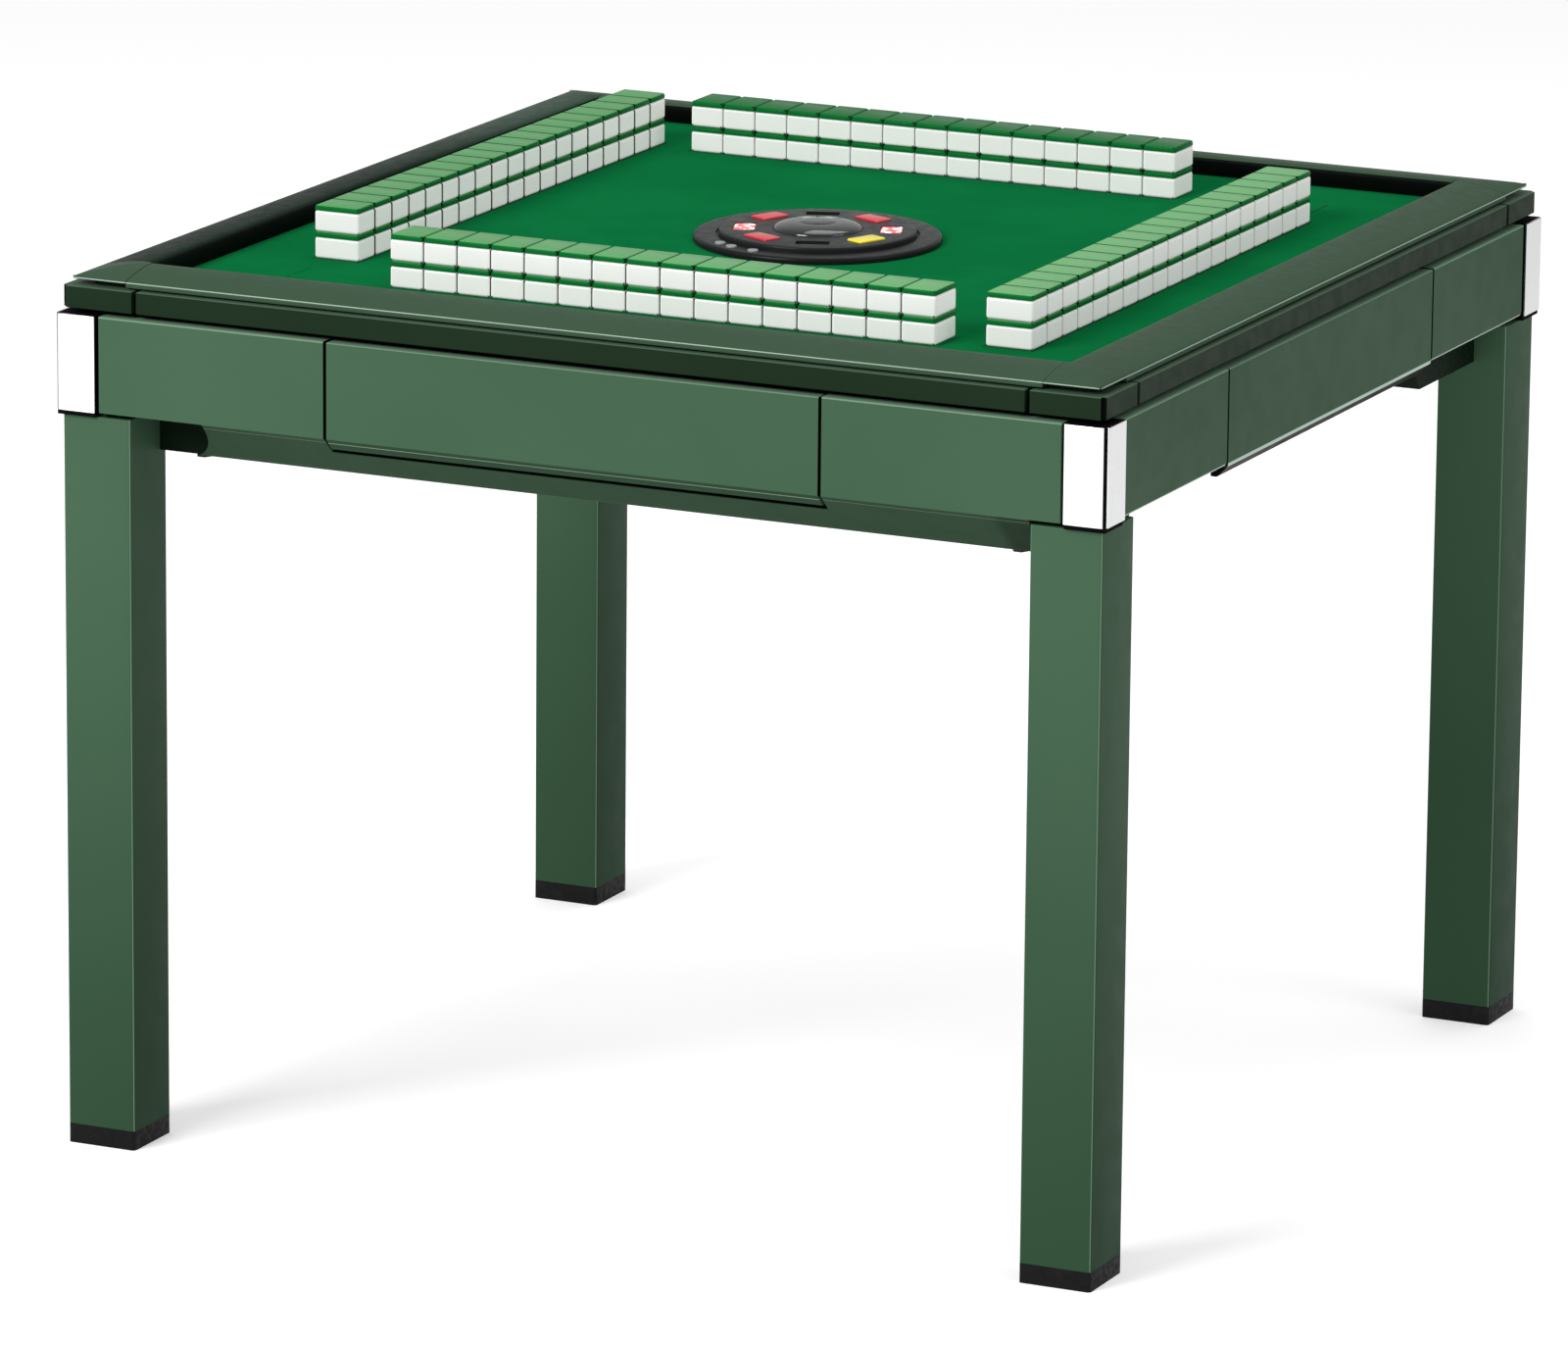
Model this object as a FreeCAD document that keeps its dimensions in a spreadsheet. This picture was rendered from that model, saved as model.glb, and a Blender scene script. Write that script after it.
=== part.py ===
"""Automatic mahjong table with a drawer in each of its four sides.

The table stands on the floor at z = 0, centred on the Z axis, with its front to -Y.
Every piece is drawn on the front side or the front right corner and then turned
about the Z axis in quarter turns. Lengths are in millimetres.
"""
import FreeCAD, Part
import Sketcher
import math
import os

Vector = FreeCAD.Vector
doc = FreeCAD.newDocument("MahjongTable")

# ---------------------------------------------------------------- driving sizes
SIZES = [
    # case and its corners
    ("cover_half", 480, "centre of table to the outside of the corner covers"),
    ("cover_thick", 2, "thickness of a corner cover, which lies on the panels' plane"),
    ("cover_width", 38, "width of a corner cover along each side"),
    ("corner_groove", 3.5, "square groove down each outer corner"),
    ("panel_thick", 15, "thickness of the side panels and drawer faces"),
    ("case_bottom", 640, "floor to the lower edge of the side panels"),
    ("case_height", 82.5, "height of the side panels"),
    ("panel_joint", 3, "shadow joint between a panel and a corner cover"),
    ("apron_reach", 40, "how far the front and back aprons lean inwards"),
    ("apron_drop", 36, "how far the aprons hang below the panels"),
    ("apron_thick", 12, "thickness of the aprons, measured level"),
    ("apron_arc", 39, "radius of the arc cut out of each apron end"),
    ("apron_arc_inset", 30, "leg to the centre of that arc"),
    ("sill_back", 30, "panel's plane to the front of the sill inside an apron"),
    ("sill_thick", 8, "thickness of the sills"),
    ("sill_tall", 22, "height of the sills, which reach up to the base board"),
    ("post_side", 44, "side of the core of a corner post"),
    # legs
    ("leg_set", 5, "corner cover to the outside of the leg"),
    ("leg_side", 64, "side of the square legs"),
    ("leg_wall", 2, "wall of the leg tube"),
    ("leg_cap", 6, "plate that closes the top of a leg"),
    ("leg_round", 3, "radius of the leg's long edges"),
    ("leg_gap", 4, "shadow joint between a leg and the case"),
    ("foot_height", 17, "height of the rubber feet"),
    ("foot_plug", 24, "length of the foot's plug inside the tube"),
    ("foot_plug_gap", 1, "room between the plug and the tube"),
    ("bracket_reach", 120, "length of a leg bracket at the front and the back"),
    ("bracket_back", 52, "leg face to the outside of a front or back bracket"),
    ("bracket_tall", 37, "height of a front or back bracket"),
    ("side_bracket_reach", 150, "length of a bracket at the side of a back leg"),
    ("short_bracket_reach", 66, "length of a bracket at the side of a front leg"),
    ("side_bracket_back", 30, "leg face to the outside of a side bracket"),
    ("side_bracket_tall", 36, "height of a side bracket"),
    ("bracket_thick", 24, "thickness of a leg bracket"),
    ("bracket_slope", 22, "cut corner of a leg bracket"),
    ("bracket_edge", 7, "height of a bracket's far edge"),
    ("bolt_radius", 4, "shank of the leg bolts"),
    ("bolt_gap", 0.1, "room round a leg bolt"),
    ("bolt_head", 7, "radius of a leg bolt's head"),
    ("bolt_head_thick", 4, "height of a leg bolt's head"),
    ("bolt_place", 36, "leg to the axis of its bracket bolt"),
    # base board
    ("board_drop", 2, "lower edge of the panels to the underside of the base board"),
    ("board_thick", 8, "thickness of the base board"),
    # drawers
    ("drawer_half", 225, "half the width of a drawer face"),
    ("drawer_seam", 1.5, "gap at each side of a drawer face"),
    ("drawer_top_gap", 0.6, "drawer face to the top edge of the panels"),
    ("lip_reach", 10, "depth of the finger lip under a drawer face"),
    ("lip_drop", 10.2, "height of the finger lip under a drawer face"),
    ("lip_thick", 6, "thickness of the finger lip"),
    ("lip_gap", 3.8, "finger lip to the apron below it"),
    ("tray_inset", 13, "drawer face's end to the side of its tray"),
    ("tray_depth", 106, "depth of a drawer tray"),
    ("tray_lift", 4, "base board to the underside of a drawer tray"),
    ("tray_tall", 60, "height of a drawer tray"),
    ("tray_wall", 2.5, "walls and bottom of a drawer tray"),
    ("divider_thick", 2, "thickness of the tray dividers"),
    ("divider_drop", 10, "tray rim to the top of the dividers"),
    ("rib_out", 5, "how far a tray's rib stands out"),
    ("rib_rise", 22, "tray's underside to its rib"),
    ("rib_thick", 5, "thickness of a tray's rib"),
    ("runner_gap", 0.6, "room between a drawer tray and its runner"),
    ("runner_thick", 10, "thickness of a runner"),
    ("runner_back", 2, "side panel to a runner"),
    ("runner_tall", 44, "height of a runner"),
    ("notch_gap", 5, "room round a drawer face in the base board"),
    # lid: frame, board, cloth and rim
    ("rail_deep", 30, "width of the top rails"),
    ("rail_back", 8.5, "side panel to a top rail"),
    ("rail_tall", 12, "height of the top rails"),
    ("strip_set", 5, "corner cover to the outside of the lid strips"),
    ("strip_thick", 20, "thickness of the lid strips"),
    ("strip_gap", 4.5, "shadow joint between the case and the lid"),
    ("strip_tall", 19, "height of the lid strips"),
    ("block_long", 66, "length of the lid's corner blocks"),
    ("block_gap", 4, "gap between a corner block and its strips"),
    ("board_step", 1, "strips' lower edge to the underside of the play board"),
    ("play_thick", 12, "thickness of the play board"),
    ("cloth_thick", 3, "thickness of the play cloth on its backing"),
    ("rim_set", 11, "corner cover to the outside of the rim"),
    ("rim_wide", 51, "width of the rim"),
    ("rim_step", 2, "inside of the strips to the rim's step over them"),
    ("rim_gap", 1.5, "shadow joint under the rim's rails"),
    ("rim_corner_gap", 5, "shadow joint under the rim's corner pieces"),
    ("rim_edge_tall", 6, "height of the rim's outer edge"),
    ("rim_crown", 6.5, "rim's outer edge to its crest"),
    ("rim_joint", 0.4, "joint between a rim rail and a corner piece"),
    ("rim_round", 4, "plan radius of the rim's corners"),
    # tiles
    ("tile_wide", 31, "width of a tile"),
    ("tile_long", 42, "length of a tile"),
    ("tile_white", 18.5, "thickness of a tile's white body"),
    ("tile_green", 4.5, "thickness of a tile's green back"),
    ("tile_gap", 0.3, "least gap between two tiles of a wall"),
    ("tile_round", 2.5, "radius of a tile's upright edges"),
    ("tile_end", 2.5, "platform's end to the nearest tile"),
    # wall lifts
    ("lift_inset", 72, "rim to the outside of a lift platform"),
    ("lift_room", 118, "rim's inner corner to the end of a centred lift platform"),
    ("slot_bridge", 32, "play board left between the slots of two lifts"),
    ("lift_thick", 6, "thickness of a lift platform"),
    ("slot_gap", 1, "room round a lift platform in the play board"),
    ("stem_radius", 6, "radius of a lift's guide stems"),
    ("stem_gap", 0.05, "running room round a stem"),
    ("stem_long", 73, "length of the stems"),
    ("stem_inset", 60, "platform's end to its outer stem"),
    ("bush_wall", 6, "wall of the guide bushes"),
    ("bush_under", 22, "base board to the lower end of the bushes"),
    ("bush_over", 38, "base board to the upper end of the bushes"),
    ("flange_out", 6, "how far a bush's flange stands out"),
    ("flange_thick", 4, "thickness of the flanges on the base board"),
    ("board_hole_gap", 0.2, "room round a tube in the base board"),
    ("actuator_wall", 8, "wall and closed end of a lift actuator"),
    ("actuator_under", 38, "base board to the lower end of the actuators"),
    ("gearbox_long", 66, "length of an actuator's gearbox"),
    # shuffling unit
    ("column_radius", 30, "outside of the centre column"),
    ("column_wall", 6, "wall of the centre column"),
    ("column_under", 20, "base board to the lower end of the centre column"),
    ("running_gap", 0.05, "radial running room of the round bearings"),
    ("sleeve_wall", 6, "wall of the centre sleeve"),
    ("sleeve_under", 26, "base board to the lower end of the sleeve"),
    ("sleeve_over", 54, "base board to the upper end of the sleeve"),
    ("sleeve_flange", 14, "how far the sleeve's flange stands out"),
    ("table_seat", 0.3, "room under the turntable's hub"),
    ("hub_wall", 10, "wall of the turntable's hub"),
    ("dish_rise", 14, "sleeve's flange to the underside of the turntable"),
    ("dish_tall", 26, "height of the turntable's rim"),
    ("dish_thick", 4, "thickness of the turntable"),
    ("dish_clear", 24, "turntable to the lift platforms"),
    ("roller_radius", 15, "radius of the drive roller"),
    ("roller_gap", 0.3, "room between the roller and the turntable"),
    ("roller_under", 8, "turntable's underside to the roller's lower face"),
    ("roller_tall", 22, "height of the drive roller"),
    ("motor_radius", 25, "radius of the turntable motor"),
    ("motor_tall", 38, "height of the turntable motor"),
    ("shaft_radius", 4, "radius of the roller's shaft"),
    ("shaft_under", 26, "base board to the lower end of the roller's shaft"),
    # centre unit
    ("centre_hole", 103, "radius of the hole in the play board"),
    ("dice_sink", 1, "cloth to the plate that the dice lie on"),
    ("dice_plate", 4, "thickness of that plate"),
    ("unit_seat", 0.3, "room under the centre unit"),
    ("unit_tall", 5.7, "height of the centre unit's outer ring"),
    ("unit_over", 4, "how far the centre unit covers the cloth"),
    ("unit_bevel", 3, "bevel round the centre unit"),
    ("groove_radius", 85.5, "inner edge of the groove in the centre unit"),
    ("groove_wide", 2, "width and depth of that groove"),
    ("disc_tall", 4.5, "height of the raised disc"),
    ("disc_gap", 0.5, "raised disc to the groove"),
    ("dome_radius", 38.2, "outside of the dice dome"),
    ("dome_gap", 0.4, "room round the dice dome"),
    ("dome_rise", 7.5, "raised disc to the crown of the dice dome"),
    ("dome_wall", 1.6, "wall of the dice dome"),
    ("dice_side", 11, "side of a die"),
    ("dice_apart", 4, "distance between the dice"),
    ("layout_turn", 21, "turn of the pads on the disc, in degrees"),
    ("pad_place", 63, "centre of table to the middle of a pad"),
    ("pad_long", 29, "pad size round the disc"),
    ("pad_deep", 18, "pad size across the disc"),
    ("pad_gap", 0.4, "room round a pad"),
    ("pad_corner", 1.6, "radius of a pad's corners"),
    ("pad_lift", 1.8, "centre unit to the underside of a pad"),
    ("pad_proud", 1.5, "how far a pad stands out of the disc"),
    ("slot_deep", 14, "width of the two plain slots in the disc"),
    ("key_place", 96, "centre of table to a round key"),
    ("key_radius", 4.8, "radius of a round key"),
    ("key_well", 4.5, "depth of a round key's well"),
    ("key_lift", 1.7, "bottom of the well to the round key"),
    ("key_proud", 1.6, "how far a round key stands out"),
    # electrics under the base board
    ("box_clear", 20.95, "control box to the lift actuator behind it"),
    ("box_long", 140, "length of the control box"),
    ("box_half", 60, "half the width of the control box"),
    ("box_tall", 40, "height of the control box"),
    ("switch_under", 20, "base board to the axis of the rocker switch"),
    ("inlet_place", -35, "sideways place of the power inlet"),
    ("inlet_wide", 30, "width of the power inlet"),
    ("inlet_tall", 22, "height of the power inlet"),
    ("inlet_deep", 20, "depth of the power inlet"),
    ("inlet_wall", 4, "wall of the power inlet"),
    ("inlet_proud", 3, "how far the inlet stands out of the box"),
    ("fit_gap", 0.3, "room round the inlet in the box"),
    ("switch_place", 20, "sideways place of the rocker switch"),
    ("switch_wide", 19, "width of the rocker"),
    ("switch_tall", 12.6, "height of the rocker"),
    ("switch_back", 3, "rocker's axis to its inner face"),
    ("switch_front", 5, "rocker's axis to its outer face"),
    ("switch_gap", 0.9, "room round the rocker"),
    ("switch_pin", 1, "radius of the rocker's pins"),
    ("switch_pin_long", 2, "length of each of the rocker's pins"),
    # all pieces
    ("cut_over", 1, "how far a cutting shape runs past its piece"),
]

DIVIDERS = 4
SIDE_NAMES = ["front", "right", "back", "left"]
STACKS_TAKEN = {"front": 3, "right": 0, "back": 4, "left": 0}
QUARTER = 90.0


def text_of(value):
    """The formula of a size, or the digits of a plain number."""
    return value.text if isinstance(value, Size) else repr(float(value))


class Size(float):
    """A number that keeps the spreadsheet formula it comes from."""

    def __new__(cls, value, text):
        made = float.__new__(cls, value)
        made.text = text
        return made

    def __add__(self, other):
        return Size(float(self) + float(other), "(%s + %s)" % (self.text, text_of(other)))

    def __radd__(self, other):
        return Size(float(other) + float(self), "(%s + %s)" % (text_of(other), self.text))

    def __sub__(self, other):
        return Size(float(self) - float(other), "(%s - %s)" % (self.text, text_of(other)))

    def __rsub__(self, other):
        return Size(float(other) - float(self), "(%s - %s)" % (text_of(other), self.text))

    def __mul__(self, other):
        return Size(float(self) * float(other), "(%s * %s)" % (self.text, text_of(other)))

    def __rmul__(self, other):
        return Size(float(other) * float(self), "(%s * %s)" % (text_of(other), self.text))

    def __truediv__(self, other):
        return Size(float(self) / float(other), "(%s / %s)" % (self.text, text_of(other)))

    def __neg__(self):
        return Size(-float(self), "(0 - %s)" % self.text)


def whole(size):
    """The whole number at or below a size."""
    return Size(math.floor(size), "floor(%s)" % size.text)


class Sizes:
    """The spreadsheet's sizes, each under its own name."""


sheet = doc.addObject("Spreadsheet::Sheet", "Sizes")
S = Sizes()
for row, (alias, value, meaning) in enumerate(SIZES, start=1):
    sheet.set("A%d" % row, str(value))
    sheet.setAlias("A%d" % row, alias)
    sheet.set("B%d" % row, meaning)
    setattr(S, alias, Size(value, "Sizes." + alias))
doc.recompute()

# ---------------------------------------------------------------- places worked out from the sizes
S.panel_half = S.cover_half - S.cover_thick
S.leg_face = S.cover_half - S.leg_set
S.leg_inner = S.leg_face - S.leg_side
S.leg_top = S.case_bottom - S.leg_gap
S.case_top = S.case_bottom + S.case_height
S.apron_arc_place = S.leg_inner - S.apron_arc_inset
S.post_half = S.panel_half - S.panel_thick - S.post_side
S.board_low = S.case_bottom - S.board_drop
S.board_high = S.board_low + S.board_thick
S.tray_half = S.drawer_half - S.tray_inset
S.tray_low = S.board_high + S.tray_lift
S.tray_high = S.tray_low + S.tray_tall
S.rib_low = S.tray_low + S.rib_rise
S.runner_high = S.board_high + S.runner_tall
S.strip_face = S.cover_half - S.strip_set
S.strip_low = S.case_top + S.strip_gap
S.strip_high = S.strip_low + S.strip_tall
S.lid_low = S.strip_low + S.board_step
S.rail_low = S.lid_low - S.rail_tall
S.cloth_low = S.lid_low + S.play_thick
S.cloth_top = S.cloth_low + S.cloth_thick
S.rim_half = S.cover_half - S.rim_set
S.opening_half = S.rim_half - S.rim_wide
S.rim_seat = S.strip_face - S.strip_thick - S.rim_step
S.rim_low = S.strip_high + S.rim_gap
S.rim_corner_low = S.strip_high + S.rim_corner_gap
S.rim_edge = S.rim_low + S.rim_edge_tall
S.rim_top = S.rim_edge + S.rim_crown
S.lift_wide = S.tile_long
S.lift_inner = S.opening_half - S.lift_inset - S.lift_wide
S.lift_middle = S.lift_inner + S.lift_wide / 2
S.lift_long = (S.opening_half - S.lift_room) * 2
S.lift_shift = S.lift_long / 2 + S.slot_gap * 2 + S.slot_bridge - S.lift_inner
S.stem_spread = S.lift_long / 2 - S.stem_inset
S.wall_long = S.lift_long - S.tile_end * 2 + S.tile_gap
S.wall_stacks = whole(S.wall_long / (S.tile_wide + S.tile_gap))
S.tile_pitch = S.wall_long / S.wall_stacks
S.stem_low = S.cloth_top - S.lift_thick - S.stem_long
S.bush_radius = S.stem_radius + S.stem_gap + S.bush_wall
S.bush_flange = S.bush_radius + S.flange_out
S.bush_low = S.board_low - S.bush_under
S.bush_high = S.board_high + S.bush_over
S.actuator_radius = S.stem_radius + S.stem_gap + S.actuator_wall
S.actuator_low = S.board_low - S.actuator_under
S.column_bore = S.column_radius - S.column_wall
S.column_low = S.board_low - S.column_under
S.sleeve_radius = S.column_radius + S.running_gap + S.sleeve_wall
S.sleeve_low = S.board_low - S.sleeve_under
S.sleeve_high = S.board_high + S.sleeve_over
S.flange_top = S.board_high + S.flange_thick
S.hub_radius = S.sleeve_radius + S.running_gap + S.hub_wall
S.dish_low = S.flange_top + S.dish_rise
S.dish_high = S.dish_low + S.dish_tall
S.dish_radius = S.lift_inner - S.dish_clear
S.roller_low = S.dish_low - S.roller_under
S.motor_low = S.board_low - S.motor_tall
S.shaft_low = S.board_low - S.shaft_under
S.dice_floor = S.cloth_top - S.dice_sink
S.unit_low = S.cloth_top + S.unit_seat
S.unit_high = S.unit_low + S.unit_tall
S.unit_radius = S.centre_hole + S.unit_over
S.disc_high = S.unit_high + S.disc_tall
S.dome_high = S.disc_high + S.dome_rise
S.pad_low = S.unit_high + S.pad_lift
S.pad_high = S.disc_high + S.pad_proud
S.key_floor = S.unit_high - S.key_well
S.key_low = S.key_floor + S.key_lift
S.key_high = S.unit_high + S.key_proud
S.box_far = S.lift_middle - S.actuator_radius - S.box_clear
S.box_near = S.box_far - S.box_long
S.box_low = S.board_low - S.box_tall
S.switch_level = S.board_low - S.switch_under


# ---------------------------------------------------------------- building tools
def bind(obj, prop, value):
    """Tie a property to the formula of its size."""
    obj.setExpression(prop, text_of(value))


def box(name, x, y, z):
    """A box between two values on each axis."""
    made = doc.addObject("Part::Box", name)
    for prop, axis, span in (("Length", "x", x), ("Width", "y", y), ("Height", "z", z)):
        bind(made, prop, span[1] - span[0])
        bind(made, ".Placement.Base." + axis, span[0])
    return made


def cylinder(name, x, y, z, radius):
    """An upright cylinder at x, y between two heights."""
    made = doc.addObject("Part::Cylinder", name)
    bind(made, "Radius", radius)
    bind(made, "Height", z[1] - z[0])
    bind(made, ".Placement.Base.x", x)
    bind(made, ".Placement.Base.y", y)
    bind(made, ".Placement.Base.z", z[0])
    return made


def fuse(name, parts):
    """One solid from several that touch or overlap."""
    made = doc.addObject("Part::MultiFuse", name)
    made.Shapes = parts
    made.Refine = True
    return made


def alone(name, part):
    """A holder that lets one bound shape be turned as it is."""
    made = doc.addObject("Part::Compound", name)
    made.Links = [part]
    return made


def cut(name, base, tools):
    """The base with every tool taken away."""
    made = doc.addObject("Part::Cut", name)
    made.Base = base
    made.Tool = tools[0] if len(tools) == 1 else fuse(name + "_tools", tools)
    made.Refine = True
    return made


def common(name, first, second):
    """What two shapes share."""
    made = doc.addObject("Part::Common", name)
    made.Base = first
    made.Tool = second
    return made


def fillet(name, base, radius, wanted):
    """Round each edge of the base whose middle and direction are wanted."""
    doc.recompute()
    made = doc.addObject("Part::Fillet", name)
    made.Base = base
    edges = []
    for number, edge in enumerate(base.Shape.Edges, start=1):
        middle = edge.CenterOfMass
        run = edge.Vertexes[-1].Point - edge.Vertexes[0].Point
        if run.Length > 0 and wanted(middle, run.normalize()):
            edges.append((number, float(radius), float(radius)))
    made.Edges = edges
    return made


def upright(middle, run):
    return abs(run.z) > 0.99


def turned(obj, quarter):
    """Turn a finished shape about the table's middle by quarter turns."""
    obj.Placement = FreeCAD.Placement(
        Vector(0, 0, 0), FreeCAD.Rotation(Vector(0, 0, 1), QUARTER * quarter))
    return obj


def group(label, parts):
    """One named node out of separate solids."""
    made = doc.addObject("Part::Compound", label)
    made.Links = parts
    made.Label = label
    return made


def plane_of(body, role):
    return [item for item in body.Origin.OriginFeatures if item.Role == role][0]


def outline(body, name, role, points):
    """A closed sketch whose corners are tied to the sheet."""
    sketch = body.newObject("Sketcher::SketchObject", name)
    sketch.AttachmentSupport = (plane_of(body, role), [""])
    sketch.MapMode = "FlatFace"
    count = len(points)
    for index, (across, up) in enumerate(points):
        beyond = points[(index + 1) % count]
        start = Vector(float(across), float(up), 0)
        end = Vector(float(beyond[0]), float(beyond[1]), 0)
        sketch.addGeometry(Part.LineSegment(start, end), False)
    for index in range(count):
        sketch.addConstraint(
            Sketcher.Constraint("Coincident", index, 2, (index + 1) % count, 1))
    for index, corner in enumerate(points):
        for kind, place in zip(("DistanceX", "DistanceY"), corner):
            rule = sketch.addConstraint(
                Sketcher.Constraint(kind, -1, 1, index, 1, float(place)))
            if isinstance(place, Size):
                sketch.setExpression("Constraints[%d]" % rule, text_of(place))
    return sketch


def padded(label, role, points, length):
    """A profile pushed out by half the length to each side of its plane."""
    body = doc.addObject("PartDesign::Body", label)
    sketch = outline(body, label + "_profile", role, points)
    pad = body.newObject("PartDesign::Pad", label + "_pad")
    pad.Profile = sketch
    pad.Midplane = True
    bind(pad, "Length", length)
    return body


def revolved(label, points):
    """A profile of radius and height turned round the Z axis."""
    body = doc.addObject("PartDesign::Body", label)
    sketch = outline(body, label + "_profile", "XZ_Plane", points)
    turn = body.newObject("PartDesign::Revolution", label + "_turn")
    turn.Profile = sketch
    turn.ReferenceAxis = (sketch, ["V_Axis"])
    turn.Angle = 360
    return body


def placed(label, shape):
    """A node whose shape is worked out from the sheet by this script."""
    made = doc.addObject("Part::Feature", label)
    made.Shape = shape
    made.Label = label
    return made


nodes = []


def keep(obj, label):
    """Give a finished piece its node name and put it on the list to write."""
    obj.Label = label
    nodes.append(obj)
    return obj


# ---------------------------------------------------------------- legs and feet
def leg(quarter):
    """A square tube closed at the top, in the front right corner."""
    inner = S.leg_inner
    body = doc.addObject("PartDesign::Body", "leg_tube_%d" % quarter)
    square = [(inner, -S.leg_face), (S.leg_face, -S.leg_face),
              (S.leg_face, -inner), (inner, -inner)]
    sketch = outline(body, "leg_square_%d" % quarter, "XY_Plane", square)
    pad = body.newObject("PartDesign::Pad", "leg_pad_%d" % quarter)
    pad.Profile = sketch
    bind(pad, "Length", S.leg_top)
    rounded = fillet("leg_rounded_%d" % quarter, body, S.leg_round, upright)
    below = box("leg_below_%d" % quarter, (inner - S.leg_wall, S.leg_face + S.leg_wall),
                (-S.leg_face - S.leg_wall, -inner + S.leg_wall),
                (-S.leg_wall, S.foot_height))
    hollow = box("leg_hollow_%d" % quarter, (inner + S.leg_wall, S.leg_face - S.leg_wall),
                 (-S.leg_face + S.leg_wall, -inner - S.leg_wall),
                 (0, S.leg_top - S.leg_cap))
    return turned(cut("leg_%d" % quarter, rounded, [below, hollow]), quarter)


def foot(quarter):
    """A rubber shoe under a leg with a plug up inside the tube."""
    inner = S.leg_inner
    room = S.leg_wall + S.foot_plug_gap
    shoe = box("shoe_%d" % quarter, (inner, S.leg_face), (-S.leg_face, -inner),
               (0, S.foot_height))
    shoe = fillet("shoe_rounded_%d" % quarter, shoe, S.leg_round, upright)
    plug = box("plug_%d" % quarter, (inner + room, S.leg_face - room),
               (-S.leg_face + room, -inner - room),
               (S.foot_height, S.foot_height + S.foot_plug))
    return turned(fuse("foot_%d" % quarter, [shoe, plug]), quarter)


keep(group("legs", [leg(quarter) for quarter in range(4)]), "legs")
keep(group("rubber_feet", [foot(quarter) for quarter in range(4)]), "rubber_feet")


def bracket_sizes(quarter, hand):
    """Length, height and middle line of one bracket."""
    if quarter % 2:
        at_back_leg = hand == 2 - quarter
        reach = S.side_bracket_reach if at_back_leg else S.short_bracket_reach
        tall, back = S.side_bracket_tall, S.side_bracket_back
    else:
        reach, tall, back = S.bracket_reach, S.bracket_tall, S.bracket_back
    return reach, tall, -S.leg_face + back + S.bracket_thick / 2


def bracket(quarter, hand):
    """A gusset beside a leg, bolted up into the base board."""
    reach, tall, middle = bracket_sizes(quarter, hand)
    leg_x = S.leg_inner
    far_x = leg_x - reach
    low = S.board_low - tall
    corners = [(leg_x, S.board_low), (far_x, S.board_low),
               (far_x, S.board_low - S.bracket_edge), (far_x + S.bracket_slope, low),
               (leg_x, low)]
    corners = [(across * hand, up) for across, up in corners]
    name = "%d_%s" % (quarter, "right" if hand > 0 else "left")
    arm = padded("bracket_arm_" + name, "XZ_Plane", corners, S.bracket_thick)
    bind(arm, ".Placement.Base.y", middle)
    hole = cylinder("bracket_hole_" + name, (leg_x - S.bolt_place) * hand, middle,
                    (low - S.cut_over, S.board_low + S.cut_over), S.bolt_radius + S.bolt_gap)
    return turned(cut("bracket_" + name, arm, [hole]), quarter)


def bolt(quarter, hand):
    """A hexagon bolt up through a bracket and the base board."""
    reach, tall, middle = bracket_sizes(quarter, hand)
    low = S.board_low - tall
    place = (S.leg_inner - S.bolt_place) * hand
    name = "%d_%s" % (quarter, "right" if hand > 0 else "left")
    shank = cylinder("bolt_shank_" + name, place, middle, (low, S.board_high), S.bolt_radius)
    head = doc.addObject("Part::Prism", "bolt_head_" + name)
    head.Polygon = 6
    bind(head, "Circumradius", S.bolt_head)
    bind(head, "Height", S.bolt_head_thick)
    bind(head, ".Placement.Base.x", place)
    bind(head, ".Placement.Base.y", middle)
    bind(head, ".Placement.Base.z", low - S.bolt_head_thick)
    return turned(fuse("bolt_" + name, [shank, head]), quarter)


corners_and_hands = [(quarter, hand) for quarter in range(4) for hand in (1, -1)]
keep(group("leg_brackets", [bracket(*place) for place in corners_and_hands]), "leg_brackets")
keep(group("leg_bolts", [bolt(*place) for place in corners_and_hands]), "leg_bolts")


# ---------------------------------------------------------------- case
panel_inner = S.panel_half - S.panel_thick
panel_end = S.cover_half - S.cover_width - S.panel_joint
opening = S.drawer_half + S.drawer_seam
apron_top = S.case_bottom - S.lip_drop - S.lip_gap


def post(quarter):
    """A stepped corner post that carries the panels, the covers and the lid."""
    core = box("post_core_%d" % quarter, (S.post_half, panel_inner),
               (-panel_inner, -S.post_half), (S.leg_top, S.strip_low))
    nose = box("post_nose_%d" % quarter, (S.cover_half - S.cover_width, S.panel_half),
               (-S.panel_half, -S.cover_half + S.cover_width), (S.leg_top, S.case_top))
    return turned(fuse("post_%d" % quarter, [core, nose]), quarter)


def cover(quarter, hand):
    """One bright plate of a corner cover; two meet at the corner groove."""
    name = "cover_%d_%s" % (quarter, "right" if hand > 0 else "left")
    near = S.cover_half - S.cover_width
    far = S.cover_half - S.corner_groove
    span = (near, far) if hand > 0 else (-far, -near)
    plate = box(name, span, (-S.cover_half, -S.panel_half), (S.case_bottom, S.case_top))
    return turned(fillet(name + "_rounded", plate, S.cover_thick / 3,
                         lambda middle, run: upright(middle, run)
                         and middle.y < -S.panel_half - S.cover_thick / 2), quarter)


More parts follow.
